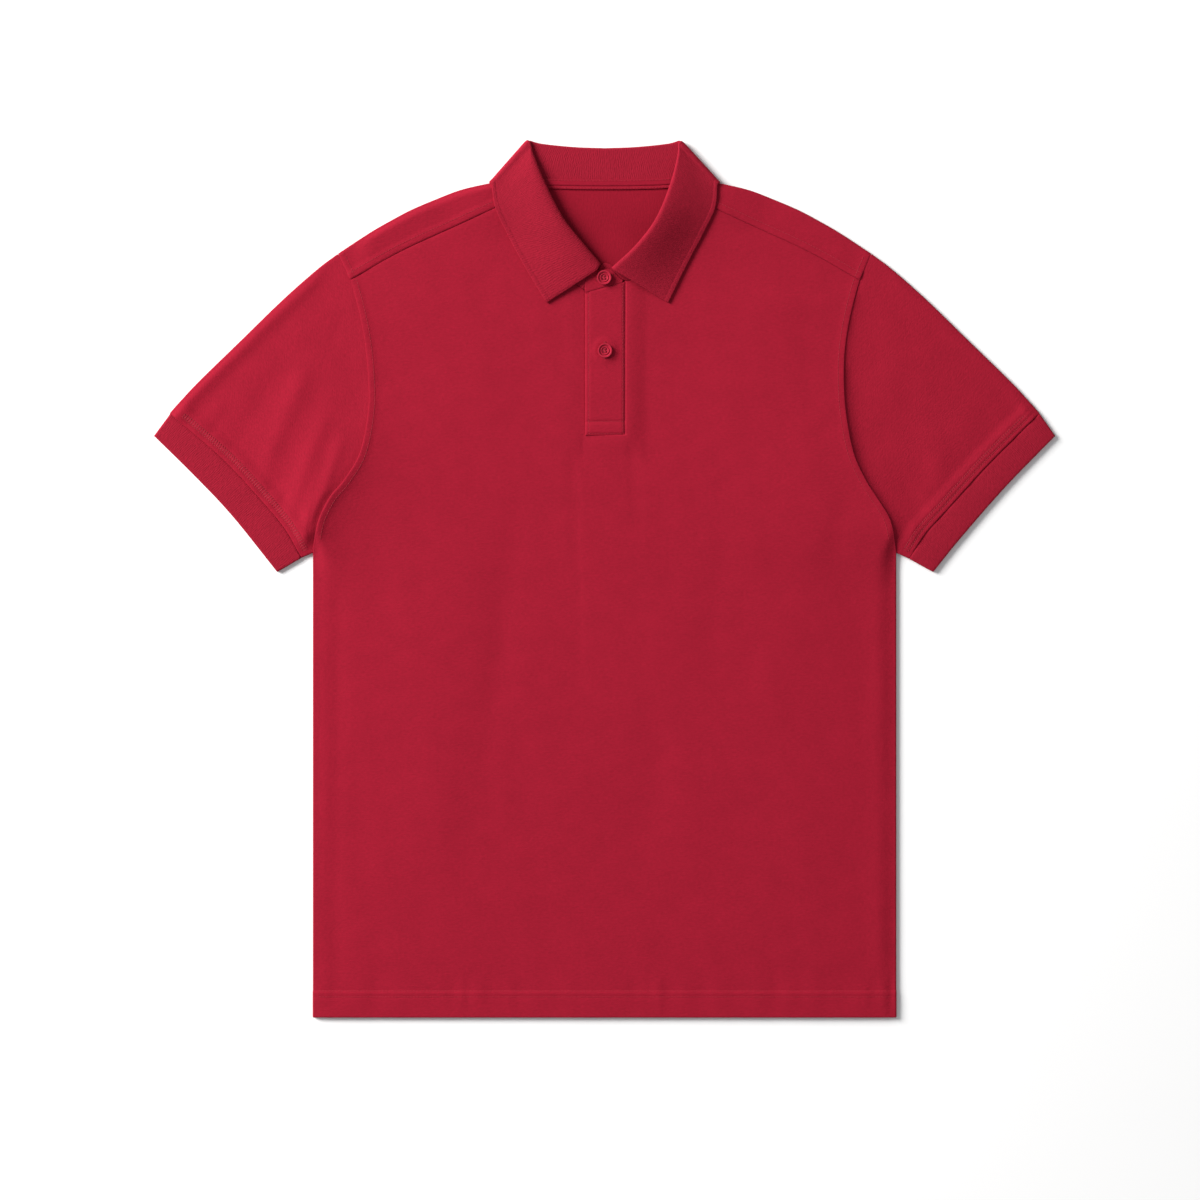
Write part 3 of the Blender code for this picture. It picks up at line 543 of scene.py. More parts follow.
# the wrong side's knit is real, but its darker red is painted shade for the hollow inside the neck
inside_pique_painted_shade = knit("red_pique_inside_painted_shade", (140, 18, 38), 0.0012, 0.0016, 0.00015, ribbed=True, contrast=0.22)
flat_knit = knit("red_flat_knit", RIB_RED, 0.0016, 0.0011, 0.00045, ribbed=True)
tape_weave = knit("red_neck_tape", (146, 21, 42), 0.0011, 0.0011, 0.00012)
print("knits:", pique.name, inside_pique_painted_shade.name, flat_knit.name, tape_weave.name)


# %% [markdown]
# ## Cloth from a grid
# A sheet of cloth is a grid of points in the middle of its wall. The wall gets a top and an
# underside, and its rim is rounded in four narrow faces, because a cut edge taken straight down looks
# like card. Solidify could do it too, but this way the hem and the collar's border can be thicker.

# %% Meshes from points
def unit(vectors):
    """The same directions, each one long."""
    return vectors / np.maximum(np.linalg.norm(vectors, axis=-1, keepdims=True), 1e-9)


def mesh_object(name, points, faces, finish):
    """A named object from points in the pattern's millimetres."""
    mesh = bpy.data.meshes.new(name)
    mesh.from_pydata(((points - (0, LENGTH / 2, 0)) / 1000).tolist(), [], [list(face) for face in faces])
    mesh.polygons.foreach_set("use_smooth", [True] * len(mesh.polygons))
    mesh.materials.append(finish)
    obj = bpy.data.objects.new(name, mesh)
    bpy.context.scene.collection.objects.link(obj)
    return obj


def raised(plan, height):
    """A plan with a height for each of its points."""
    return np.concatenate([plan, np.asarray(height)[..., None]], axis=-1)


def flat_area(obj):
    """Half of a thin closed wall's surface: the cloth's own area, in square metres."""
    return sum(face.area for face in obj.data.polygons) / 2


# %% The cloth maker
def open_edges(cells, middle, normal):
    """The outer edges of a grid's cells, and the way out of the cloth at each point of them."""
    edges = np.concatenate([cells[:, [k, (k + 1) % 4]] for k in range(4)])
    count = len(middle)
    rim = edges[~np.isin(edges[:, 0] * count + edges[:, 1], edges[:, 1] * count + edges[:, 0])]
    outward = np.zeros_like(middle)
    way = unit(np.cross(middle[rim[:, 1]] - middle[rim[:, 0]], normal[rim[:, 0]]))
    for end in (0, 1):
        np.add.at(outward, rim[:, end], way)
    return rim, unit(outward)


def cloth(name, middle, thick, finish, lie, missing=None):
    """A closed wall about the middle surface. lie gives each grid point its place on the flat cloth."""
    middle = np.asarray(middle, float)
    normal = unit(np.cross(*np.gradient(middle, axis=(0, 1), edge_order=2)))
    shape, count = middle.shape[:2], middle.shape[0] * middle.shape[1]
    half = np.broadcast_to(np.asarray(thick, float) / 2, shape).reshape(-1, 1)
    place = np.arange(count).reshape(shape)
    cells = np.stack([place[:-1, :-1], place[1:, :-1], place[1:, 1:], place[:-1, 1:]], axis=-1)
    cells = cells.reshape(-1, 4) if missing is None else cells[~missing]
    middle, normal = middle.reshape(-1, 3), normal.reshape(-1, 3)
    rim, outward = open_edges(cells, middle, normal)
    layers = [middle + normal * half]
    for degrees in (45, 0, -45):  # three layers round the rim, between the outer and the inner face
        angle = math.radians(degrees)
        layers.append(middle + half * (normal * math.sin(angle) + outward * RIM * math.cos(angle)))
    points = np.concatenate(layers + [middle - normal * half])
    strips = [
        np.column_stack([rim[:, 1], rim[:, 0], rim[:, 0] + count, rim[:, 1] + count]) + k * count
        for k in range(4)
    ]
    faces = np.concatenate([cells, cells[:, ::-1] + 4 * count] + strips)
    used, faces = np.unique(faces, return_inverse=True)
    faces = faces.reshape(-1, 4)
    obj = mesh_object(name, points[used], faces, finish)
    lie = np.asarray(lie, float).reshape(-1, 2)[used % count] / 1000
    obj.data.uv_layers.new(name="cloth").data.foreach_set("uv", lie[faces.reshape(-1)].ravel())
    print(f"{name}: {2 * len(faces)} triangles, {1e3 * flat_area(obj):.0f} thousand sq mm of cloth")
    return obj


# %% Turns at the edges
def half_turn(plan, out, low, high, steps):
    """Rows of points round a fold, between a lower and an upper layer."""
    angle = np.linspace(0, math.pi, steps + 1)[1:-1, None]
    radius = (high - low) / 2
    reach = plan[None] + out[None] * (radius * np.sin(angle))[..., None]
    return raised(reach, (high + low) / 2 - radius * np.cos(angle))


def quarter_turn(plan, out, height, down, keep, spare=ROUND):
    """Two rows beyond an edge, turning in where keep is 1 and running on flat where it is 0."""
    length = np.linspace(0, TURN_LENGTH - spare, 3)[1:, None]
    bend = np.maximum(keep, 1e-3) / SIDE_TURN
    reach = plan[None] + out[None] * (np.sin(length * bend) / bend)[..., None]
    return raised(reach, height - down * (1 - np.cos(length * bend)) / bend)


def outer_edge(side_rows, armhole_points):
    """The body's edge up the side and the armhole, less its turn, with its outward way."""
    seam = np.column_stack([np.full(len(side_rows), HALF_CHEST), side_rows])
    edge = np.vstack([seam, armhole_points[1:]])
    out = rights(edge)
    out[: len(side_rows) - 1] = (1, 0)
    return edge - out * (GAP / 2 + TURN_LENGTH), out


def filled(edge_rows, top, rows, start):
    """A plan between the left and right edges, which takes the shape of the top line above start."""
    share = lengths(top) / lengths(top)[-1]
    rise = np.clip((rows - start) / (rows[-1] - start), 0, 1) ** 1.4
    return blend(edge_rows[0], edge_rows[1], share) + bulge(top)[:, None] * rise[None, :, None]


# %% [markdown]
# ## The front
# The front is one panel with a slot for the placket. Its armhole edge is raised, since the seam's
# turnings lie under it and are held by a row of stitches, and its hem is two layers thick. The grid
# is narrow beside the seams, where the form changes within a millimetre, and about 4 mm elsewhere.

# %% The front's grid
# distances from an edge at which lines of the grid lie beside a seam, the hem, the slot and its foot
NEAR = (0.8, 1.7, 2.7, 3.8, 4.8, 5.6, 6.4, 7.6, 9.4, 12.0)
HEM_ROWS = (0.8, 2.0, 4.5, 8.0, 12.0, 15.5, 17.6, 18.9, 20.2, 22.0, 23.2, 24.1, 25.2, 26.6, 29.0, 32.5)
SIDE_STEPS, ARM_STEPS, BASE_ROW = 92, 68, 141
SHOULDER_STEPS, NECK_STEPS = 44, 36
SLOT_NEAR = (1.0, 1.3, 1.55, 1.9, 2.5, 3.1, 3.7, 4.4, 5.6, 8.0)
BASE_NEAR = (1.6, 3.2, 4.6, 5.4, 5.8, 6.2, 6.7, 7.4, 8.6, 10.4, 13.0)
FILL_FROM = {"front": 240.0, "back": 260.0}  # y above which a grid's lines bend to the top edge
UNDER_PLACKET = 1.9  # how far the slot's edges lie under the placket


def front_half(side):
    """Half of the front in outward x, from its side to its slot."""
    arm = spread(armhole(side)[0], ARM_STEPS, last=NEAR)
    side_rows = np.concatenate([HEM_ROWS[:-1], np.linspace(HEM_ROWS[-1], UNDERARM, SIDE_STEPS + 1)])
    edge, out = outer_edge(side_rows, arm)
    inner_x = SLOT[side] - UNDER_PLACKET
    top_y = NECK_END[side] - ROUND
    heights = np.concatenate([
        HEM_ROWS,
        graded(HEM_ROWS[-1], SLOT_BASE - ROUND, BASE_ROW - len(HEM_ROWS) + 1, last=BASE_NEAR)[1:],
        graded(SLOT_BASE - ROUND, top_y, len(edge) - 1 - BASE_ROW, last=NEAR)[1:],
    ])
    inner = np.column_stack([np.full(len(heights), inner_x), heights])
    shoulder = moved(spread(forward_seam(side), SHOULDER_STEPS, first=NEAR), -SEAM)
    neck = moved(spread(neck_front(side), NECK_STEPS, last=SLOT_NEAR), -SEAM)
    top = np.vstack([edge[-1], shoulder[1:-1], (shoulder[-1] + neck[0]) / 2, neck[1:-1], inner[-1]])
    plan = filled((edge, inner), top, heights, FILL_FROM["front"])
    for row in range(1, 7):  # beside the armhole, no line of the grid crosses the one outside it
        plan[row, :, 0] = np.minimum(plan[row, :, 0], plan[row - 1, :, 0] - 0.3)
    height = front_height(plan[..., 0] * side, plan[..., 1]) + front_seams(plan[..., 0], plan[..., 1], side)
    turn = quarter_turn(edge, out, height[0], 1, 1 - ease(edge[:, 1], 396, UNDERARM))
    return np.concatenate([turn[::-1], raised(plan, height)])


# %% The front's seams
ARM_RIDGE, ARM_STITCH = {-1: 0.4, 1: 0.3}, 5.4  # height of the armhole's edge, and where it is sewn


def hem_seam(x, y):
    """The dips along the hem's two rows of stitches, and the puckers beside them."""
    low, high = HEM_STITCHES
    dips = -0.26 * bell(y, high, 0.8) - 0.22 * bell(y, low, 0.8)
    far = np.maximum(np.abs(y - (low + high) / 2) - 3, 0)
    return dips + puckers(x + 300, far, 31, 7.0, 13.0, 0.36)


def placket_seam(x, y, side):
    """The pull below the placket's foot, and the cloth that stands up beside its edges."""
    pull = puckers(x * side + 60, np.maximum(PLACKET_BASE - y, 0), 41, 8.0, 26.0, 0.32)
    pull = pull * (1 - ease(np.abs(x), 16, 30)) * (y < PLACKET_BASE + 1)
    half = -PLACKET_LEFT if side < 0 else PLACKET_RIGHT
    edge = np.maximum(x - half, PLACKET_BASE - y)
    beside = 1.85 * plateau(edge, -0.5, 0.0, 2.4, 21) * (x < 40)
    return pull + beside * (0.15 + 0.85 * ease(x * side, -8, 16))


def front_seams(x, y, side):
    """What the seams add to the front's height, in outward x."""
    far, place = nearest(x, y, even(armhole(side)[0], 40))
    near_arm = ease(y, UNDERARM - 2, UNDERARM + 22)
    inside = np.maximum(far - ARM_STITCH, 0)
    pulled = puckers(place, inside, 11 + side, 9.0, 11.0, 0.16) * ease(far, 0, ARM_STITCH)
    arm = (sewn_edge(far, ARM_STITCH, ARM_RIDGE[side]) + pulled) * near_arm
    arm = arm + mound(far, y, side, True) * off_sides(x, y)
    far, place = nearest(x, y, even(forward_seam(side), 24))
    shoulder = -0.15 * (1 - ease(far, 0, 3)) + puckers(place, far, 21 + side, 10.0, 12.0, 0.12)
    shoulder = shoulder * (1 - near_arm * (far > 20))
    return arm + shoulder + hem_seam(x * side, y) + placket_seam(x, y, side)


# %% Cut the front
def front_cloth():
    left = front_half(-1) * (-1, 1, 1)
    middle = np.concatenate([left, front_half(1)[::-1]])
    missing = np.zeros((len(middle) - 1, middle.shape[1] - 1), bool)
    missing[len(left) - 1, BASE_ROW + 1:] = True
    return cloth("front_cloth", middle, hem_wall(middle[..., 1]), pique, middle[..., :2], missing)


front = front_cloth()

# %% [markdown]
# ## The back
# The back panel is longer than the front: at each shoulder it comes over the fold and meets the
# front in a forward seam, a hand's width down. Inside the neck it shows its plain wrong side, in a
# darker red that is painted shade.

# %% The back's top line
UNDER_SHIFT = 1.6  # how far the lower layers' armholes lie outside the upper ones
BACK_HEM = (0.8, 4.0, 10.0, 16.0, 21.0, 23.3, 25.0, 29.0)
BACK_SIDE_STEPS, BACK_ARM_STEPS, BACK_SHOULDER, BACK_NECK = 66, 46, 34, 15
TURN_STEPS, STRIP_STEPS = 7, 20


def under_shift(y):
    return UNDER_SHIFT * plateau(y, 418, 440, 620, 656)


def back_top():
    """Half of the back's top line: the shoulder's fold from the armhole, then the neckline."""
    shoulder = spread(shoulder_fold()[::-1], BACK_SHOULDER, first=NEAR[1::2])
    neck = moved(even(smooth(NECK_BACK), BACK_NECK), -SEAM)
    return np.vstack([shoulder, neck[1:-1], [0.0, neck[-1, 1]]])


# %% The cloth that comes over the shoulders
STRIP_STITCH = 5.8  # how far behind the forward seam it is sewn
SHOULDER_ROLL = {-1: 2.4, 1: 0.5}  # how far the cloth stands up beside the shoulder's fold


def shoulder_wrap(fold, side):
    """In outward x: the rows past the fold of a shoulder, round it and down to the forward seam."""
    plan, low = fold[:, :2], fold[:, 2]
    high = low + 2 * SHOULDER_TURN
    turn = half_turn(plan, rights(plan), low, high, TURN_STEPS)
    seam = moved(spread(forward_seam(side), BACK_SHOULDER, first=NEAR[1::2]), SEAM)
    out = rights(armhole(side)[0])[-1]
    reach, start = out * (TURN_LENGTH - ROUND), seam[0] - out * SEAM
    last = np.vstack([start, start - reach / 2, seam])
    last[2] = start - reach
    closer = 1 - np.linspace(0.36, 0, 12) ** 1.25 * 1.2  # lines ever closer to the seam
    steps = np.concatenate([np.linspace(0, 0.62, STRIP_STEPS - 11), closer])
    strip = blend(plan, last, steps)
    x, y = strip[..., 0], strip[..., 1]
    share = steps[:, None]
    height = high * (1 - share) + front_height(x * side, y) * share
    height = height + SHOULDER_ROLL[side] * ease(share, 0, 0.15) * (1 - share) * (1 - ease(x, 205, 225))
    return np.swapaxes(np.concatenate([turn, raised(strip, height + strip_seams(x, y, side))]), 0, 1)


def strip_seams(x, y, side):
    """What the seams add to the cloth over the shoulder, in outward x."""
    far, place = nearest(x, y, even(forward_seam(side), 24))
    shoulder = sewn_edge(far, STRIP_STITCH, 0.5) * (1 - ease(far, 16, 22))
    shoulder = shoulder + puckers(place, np.maximum(far - STRIP_STITCH, 0), 51 + side, 9.0, 9.0, 0.14)
    far, _ = nearest(x, y, even(armhole(side)[1], 4))
    return shoulder + sewn_edge(far, ARM_STITCH, ARM_RIDGE[side]) * ease(y, 655, 662)


# %% The wrong side of the knit, darkened with painted shade
def show_inside(obj):
    """Gives the wrong side of the knit, in a darker red that is painted shade, to the faces that look up
    from inside the shirt.
    """
    obj.data.materials.append(inside_pique_painted_shade)
    x, y, z = np.array([face.center[:] for face in obj.data.polygons]).T * 1000
    lower_layer = z < back_height(x, y + LENGTH / 2) + WALL + 0.5
    for face, low in zip(obj.data.polygons, lower_layer):
        if low and face.normal.z > 0.5:
            face.material_index = 1


# %% Cut the back
def back_cloth():
    half = back_top()
    side_rows = np.concatenate([BACK_HEM[:-1], np.linspace(BACK_HEM[-1], UNDERARM, BACK_SIDE_STEPS + 1)])
    edges, outs, turns = {}, {}, {}
    for side in (-1, 1):
        lower, upper = armhole(side)
        points = even(np.vstack([lower, upper[1:]]), BACK_ARM_STEPS)
        points = points + rights(points) * under_shift(points[:, 1:])
        edge, out = outer_edge(side_rows, points)
        edges[side], outs[side] = edge * (side, 1), out * (side, 1)
    top = np.vstack([edges[-1][-1], half[1:] * (-1, 1), half[-2:0:-1], edges[1][-1]])
    plan = filled((edges[-1], edges[1]), top, edges[1][:, 1], FILL_FROM["back"])
    height = back_height(plan[..., 0], plan[..., 1])
    for side, edge_height in ((-1, height[0]), (1, height[-1])):
        keep = 1 - ease(edges[side][:, 1], 396, UNDERARM)
        turns[side] = quarter_turn(edges[side], outs[side], edge_height, -1, keep)
    body = np.concatenate([turns[-1][::-1], raised(plan, height), turns[1]])
    shoulder = BACK_SHOULDER + 3
    left, right = body[:shoulder, -1] * (-1, 1, 1), body[: -shoulder - 1: -1, -1]
    wraps = np.empty((len(body), TURN_STEPS + STRIP_STEPS, 3))
    wraps[:shoulder] = shoulder_wrap(left, -1) * (-1, 1, 1)
    wraps[: -shoulder - 1: -1] = shoulder_wrap(right, 1)
    neck = slice(shoulder, len(body) - shoulder)
    wraps[neck] = wraps[shoulder - 1] + (body[neck, -1:] - body[shoulder - 1, -1]) * (1, 0, 0)
    middle = np.concatenate([body, wraps], axis=1)
    missing = np.zeros((len(middle) - 1, middle.shape[1] - 1), bool)
    missing[shoulder - 1: len(body) - shoulder, body.shape[1] - 1:] = True
    obj = cloth("back_cloth", middle, hem_wall(middle[..., 1]), pique, middle[..., :2], missing)
    show_inside(obj)
    return obj


back = back_cloth()

# %% [markdown]
# ## Sleeves and cuffs
# A sleeve is one piece, folded along its top and sewn under the arm, so it is a flat tube that is
# open only along that seam. Its folds fan out from the armpit. The cuff is a band of flat knit,
# sewn on with a row of cover stitches that shows on the sleeve.

# %% A flat tube
SLEEVE_STEPS, CUFF_STEPS = 104, 14
PRESSED = 0.55  # how far the rounded edges at the armhole are pressed into each other
GRAIN = math.radians(-43.6)  # the way a sleeve runs, from the armhole to the cuff


def flat_tube(plan_low, plan_high, low, high, turn_out, under_out, spare):
    """A flattened tube, open only at its underarm seam."""
    keep = np.ones(len(low[0]))
    under_low = quarter_turn(plan_low[0], under_out, low[0], -1, keep, spare)
    under_high = quarter_turn(plan_high[0], under_out, high[0], 1, keep, spare)
    fold = half_turn(plan_low[-1], turn_out, low[-1], high[-1], TURN_STEPS)
    return np.concatenate([
        under_low[::-1], raised(plan_low, low), fold, raised(plan_high, high)[::-1], under_high,
    ])


def sleeve_ends(side):
    """For a sleeve's lower and upper layer: its armhole points, and how far up each one is."""
    lower, upper = armhole(side)
    first = spaced(lower, [(TURN_LENGTH + WALL) / lengths(lower)[-1]])
    whole = np.vstack([lower, upper[1:]])
    low = np.vstack([first, even(whole, 44)[1:]])
    low = low + rights(low) * under_shift(low[:, 1:])
    high = np.vstack([first, even(lower, 70)[1:], even(upper, 8)[1:]])
    return [(points, lengths(points) / lengths(points)[-1]) for points in (low, high)]


def cuff_points(line, up):
    """Points on a line across the sleeve, short of its turns at the underarm and at the top."""
    size = lengths(line)[-1]
    return spaced(line, (TURN_LENGTH + up * (size - TURN_LENGTH - TOP_TURN)) / size)


def turned_grain(points, side):
    """Places on the cloth for points of a sleeve, with the knit running down the sleeve."""
    x, y = points[..., 0] * side, points[..., 1]
    along = x * math.cos(GRAIN) + y * math.sin(GRAIN)
    across = -x * math.sin(GRAIN) + y * math.cos(GRAIN)
    return np.stack([across, along], axis=-1)


def set_back(line, up, shift):
    """Moves the lower layer's end back beneath the upper one, except near the tube's own turns."""
    return line - rights(line) * (shift * plateau(up, 0.05, 0.2, 0.8, 0.95))[:, None]


# %% A sleeve's relief
CUFF_RIDGE = 1.3  # how far the seam's turnings lift the sleeve beside the cuff
TOP_RIDGE = {-1: 1.5, 1: 0.5}  # how far the cloth stands up beside the fold along the top


def armhole_relief(x, y, u, side):
    """The mound and the puckers beside the armhole, in outward x."""
    far, place = nearest(x, y, even(armhole(side)[0], 40))
    arm = mound(far, y, side, False) * (1 - ease(u, 0.4, 0.97))
    arm = arm + puckers(place, far, 61 + side, 11.0, 16.0, 0.22) * ease(far, 0, 6)
    if side < 0:  # lifts the left sleeve's edge nearly to the front's, so no gap opens between them
        arm = arm + 0.6 * bell(far, 0, 14.0) * ease(y, 500, 540)
    return arm


def cuff_relief(x, y, side):
    """The ridge, the dips under the stitches and the puckers beside the cuff, in outward x."""
    far, place = nearest(x, y, even(smooth(CUFF_SEAM[side]), 24))
    ridge = CUFF_RIDGE * plateau(far, -0.4, 1.2, 9.0, 19.0)
    dips = 0.3 * sum(bell(far, row, 0.8) for row in CUFF_STITCHES)
    return ridge - dips + puckers(place, np.maximum(far - 10, 0), 71 + side, 9.0, 14.0, 0.25)


def sleeve_height(x, y, u, v, side):
    """Upper layer of a sleeve: u from armhole to cuff, v from the underarm to the top fold."""
    form = 0.8 + folds(x, y, SLEEVE_FOLDS[side]) + CLOTH_WAVE * waviness(x, y, 8 + side)
    form = form * plateau(u, 0, 0.3, 0.7, 1) * plateau(v, 0, 0.15, 0.84, 1)
    seams = armhole_relief(x * side, y, u, side) + cuff_relief(x * side, y, side)
    inward = (1 - v) * (290 - 115 * u)  # millimetres from the top fold
    top = TOP_RIDGE[side] * ease(inward, 0, 4) * bell(inward, 4, 7.5) * ease(u, 0.05, 0.2)
    return WALL + 2 * SHOULDER_TURN + form + seams * plateau(v, 0, 0.08, 0.95, 1) + top


# %% Cut the sleeves
def sleeve_cloth(word, side):
    outline = moved(smooth(SLEEVE_TOP), SHOULDER_TURN + WALL)
    steps = np.linspace(0, 1, SLEEVE_STEPS + 1)
    share = 0.12 * steps + 0.88 * (0.5 - 0.5 * np.cos(math.pi * steps))
    plans = []
    for (points, up), shift in zip(sleeve_ends(side), (UNDER_SHIFT, 0.0)):
        line = moved(smooth(CUFF_SEAM[side]), -SEAM)
        across = set_back(cuff_points(line, up), up, shift)
        points = moved(points, SEAM - (PRESSED if shift == 0 else 0))
        top = np.vstack([points[-1], spaced(outline, share)[1:-1], across[-1]])
        plan = blend(points, across, share) + bulge(top)[:, None] * up[None, :, None] ** 1.3
        plans.append(np.swapaxes(plan, 0, 1))
    low = np.full(plans[0].shape[:2], WALL)
    x, y = plans[1][..., 0] * side, plans[1][..., 1]
    high = sleeve_height(x, y, share[None, :], up[:, None], side)
    turn_out, under_out = -rights(plans[0][-1]), np.tile((0.0, -1.0), (SLEEVE_STEPS + 1, 1))
    tube = flat_tube(*plans, low, high, turn_out, under_out, ROUND) * (side, 1, 1)
    return cloth(f"sleeve_cloth_{word}", tube, PIQUE, pique, turned_grain(tube, side))


sleeves = {side: sleeve_cloth(word, side) for word, side in SIDES.items()}


# %% Knit the cuffs
CUFF_CROWN = 0.35  # how far the middle of a cuff stands up between its edges


def cuff_knit(word, side):
    plans = []
    round_edge = RIM * RIB / 2
    for (_, up), shift in zip(sleeve_ends(side), (UNDER_SHIFT, 0.0)):
        seam = cuff_points(moved(smooth(CUFF_SEAM[side]), GAP / 2 + round_edge), up)
        seam = set_back(seam, up, shift)
        edge = cuff_points(moved(smooth(CUFF_EDGE[side]), -round_edge), up)
        plans.append(np.swapaxes(blend(seam, edge, np.linspace(0, 1, CUFF_STEPS + 1)), 0, 1))
    low, high = (np.full(plan.shape[:2], RIB / 2) for plan in plans)
    crown = CUFF_CROWN * np.sin(math.pi * np.linspace(0, 1, CUFF_STEPS + 1)) ** 0.8
    rise = plateau(up, 0, 0.06, 0.95, 1)
    high = high + RIB + LAYER + crown[None, :] * rise[:, None]
    turn_out = -rights(plans[0][-1])
    under_out = np.linspace((0.05, -1.0), (-0.45, -0.89), CUFF_STEPS + 1)
    tube = flat_tube(*plans, low, high, turn_out, under_out, 0.5) * (side, 1, 1)
    return cloth(f"cuff_knit_{word}", tube, RIB, flat_knit, turned_grain(tube, side))


cuffs = {side: cuff_knit(word, side) for word, side in SIDES.items()}

# %% [markdown]
# ## The collar
# The collar is one strip of flat knit. It rises from the neck seam as a stand, rolls over, and falls
# outward as the leaf, all the way round. Its leaf has a thicker border along its edge. The tables
# give the roll and the leaf's edge at a few places, and smooth lines run between them.

# %% The collar's lines
# outward x, y and height of the roll, outward x and y of the leaf's edge, height at the neck seam
COLLAR_FRONT = {
    -1: (
        (67.4, 780.8, 5.4, 100.0, 742.4, 4.7), (55.0, 749.0, 9.4, 97.0, 722.0, 4.8),
        (37.5, 714.0, 10.6, 87.0, 700.0, 4.4), (20.0, 691.5, 9.0, 70.5, 669.0, 3.8),
        (3.4, 672.2, 6.2, 51.4, 637.6, 3.4),
    ),
    1: (
        (67.4, 780.8, 5.4, 100.0, 742.4, 4.7), (60.0, 748.0, 12.6, 98.2, 722.0, 4.8),
        (46.0, 712.5, 16.6, 88.0, 700.0, 4.5), (27.5, 687.5, 16.6, 71.8, 669.0, 4.5),
        (6.3, 668.0, 12.4, 56.6, 637.6, 4.6),
    ),
}
# outward x at the neck seam, then x and y of the roll and of the leaf's edge
COLLAR_BACK = (
    (86.0, 67.4, 780.8, 100.0, 742.4), (60.0, 47.0, 778.1, 74.0, 734.0),
    (30.0, 24.0, 776.1, 38.0, 731.6), (0.0, 0.0, 775.3, 0.0, 731.0),
)
COLLAR_TIP, COLLAR_OUT = (67.4, 780.8), (0.76, 0.65)  # where the roll folds at the shoulder, and its way
TIP_CUT, TIP_LIFT, TIP_REACH = 2.4, 1.7, 11.0  # what rounds that tip in front and behind, and how far along
COLLAR_CORNER_Y = 746.0  # y of the neck seam at the shoulder
STRIP_SHARE = 0.25  # share of the front's table that runs along the shoulder strip
STAND_SHARES = np.linspace(0, 1, 10)
ROLL_ANGLES = np.linspace(-90, 90, 19)[1:]
BORDER_STEPS = (0.012, 0.026, 0.042, 0.058, 0.07, 0.08, 0.09, 0.105, 0.13)
LEAF_SHARES = graded(0, 1, 34, last=BORDER_STEPS)[1:]


# %% From the neck seam over the roll to the leaf's edge
# the soft upper half of the roll at the front, and how much the leaf lingers there before it falls
ROLL_WIDE, ROLL_TALL = {-1: 6.5, 1: 2.6}, {-1: 2.3, 1: 1.2}
SLOW_FALL = {-1: 0.6, 1: 0.4}


def collar_column(seam, roll, edge, centre, soft, side=-1):
    """Points from the neck seam up the stand, over the roll and along the leaf, for many places.
    soft is how far the roll opens at each place, or None at the back, where the leaf goes beneath."""
    up = -1 if soft is None else 1
    soft = np.zeros(len(roll)) if soft is None else soft
    wide, tall = (ROLL + soft * (size[side] - ROLL) for size in (ROLL_WIDE, ROLL_TALL))
    out = roll - seam[:, :2]
    out /= np.linalg.norm(out, axis=1, keepdims=True)
    turn = roll - out * (ROLL + RIB / 2)
    rows = []
    for share in STAND_SHARES:
        plan = seam[:, :2] * (1 - share) + turn * share
        rows.append(raised(plan, seam[:, 2] * (1 - share) + (centre - up * ROLL) * share))
    for bend in np.radians(ROLL_ANGLES):
        sunk = bend <= 0
        reach = ROLL * math.cos(bend) if sunk else ROLL - wide * (1 - math.cos(bend))
        rise = (ROLL if sunk else tall) * math.sin(bend)
        rows.append(raised(turn + out * np.broadcast_to(reach, len(roll))[:, None], centre + up * rise))
    crest = turn + out * (ROLL - wide)[:, None]
    for share in LEAF_SHARES:
        fall = share + soft * SLOW_FALL[side] * (ease(share, 0, 1) - share)
        height = (centre + up * tall) * (1 - fall) + edge[:, 2] * fall
        rows.append(raised(crest * (1 - share) + edge[:, :2] * share, height))
    return np.stack(rows, axis=1)


# %% The leaf on the front, and the tip at the shoulder
def above_front(x, y):
    """Height of the leaf's middle where it lies on the front."""
    return front_height(x, y) + (PIQUE + RIB) / 2 + LAYER + 0.35


def placed(rows, shares):
    """Rows at these shares of a table's length, counted by its rows."""
    spots = shares * (len(rows) - 1)
    return np.column_stack([np.interp(spots, np.arange(len(rows)), column) for column in rows.T])


def rounded_tip(line, shift):
    """Moves the roll near its tip at the shoulder, so that the tip is round."""
    far = np.linalg.norm(line - COLLAR_TIP, axis=1, keepdims=True)
    return line + np.array(shift) * np.clip(1 - far / TIP_REACH, 0, 1) ** 1.6


# %% Halves of the collar
def collar_front(side):
    """The front of the collar in outward x, from the shoulder to its end."""
    share = np.linspace(0, 1, 55) ** 1.3
    table = placed(smooth(COLLAR_FRONT[side]), share)
    neck = neck_front(side)
    on_strip = np.clip(share / STRIP_SHARE, 0, 1)[:, None]
    on_neck = np.clip((share - STRIP_SHARE) / (1 - STRIP_SHARE), 0, 1)
    start = np.array((SHOULDER[0][0], COLLAR_CORNER_Y))
    seam = np.where(on_strip < 1, start * (1 - on_strip) + neck[0] * on_strip, spaced(neck, on_neck))
    seam = moved(seam, 0.43)
    seam[0] = COLLAR_BACK[0][0], COLLAR_CORNER_Y
    table[:, :2] = rounded_tip(table[:, :2], -TIP_CUT * np.array(COLLAR_OUT))
    edge = raised(table[:, 3:5], above_front(table[:, 3] * side, table[:, 4]))
    soft = ease(share, 0, 0.16)
    grid = collar_column(raised(seam, table[:, 5]), table[:, :2], edge, table[:, 2], soft, side)
    leaf = grid[:, -len(LEAF_SHARES):]
    leaf[..., 2] = np.maximum(leaf[..., 2], above_front(leaf[..., 0] * side, leaf[..., 1]))
    return grid


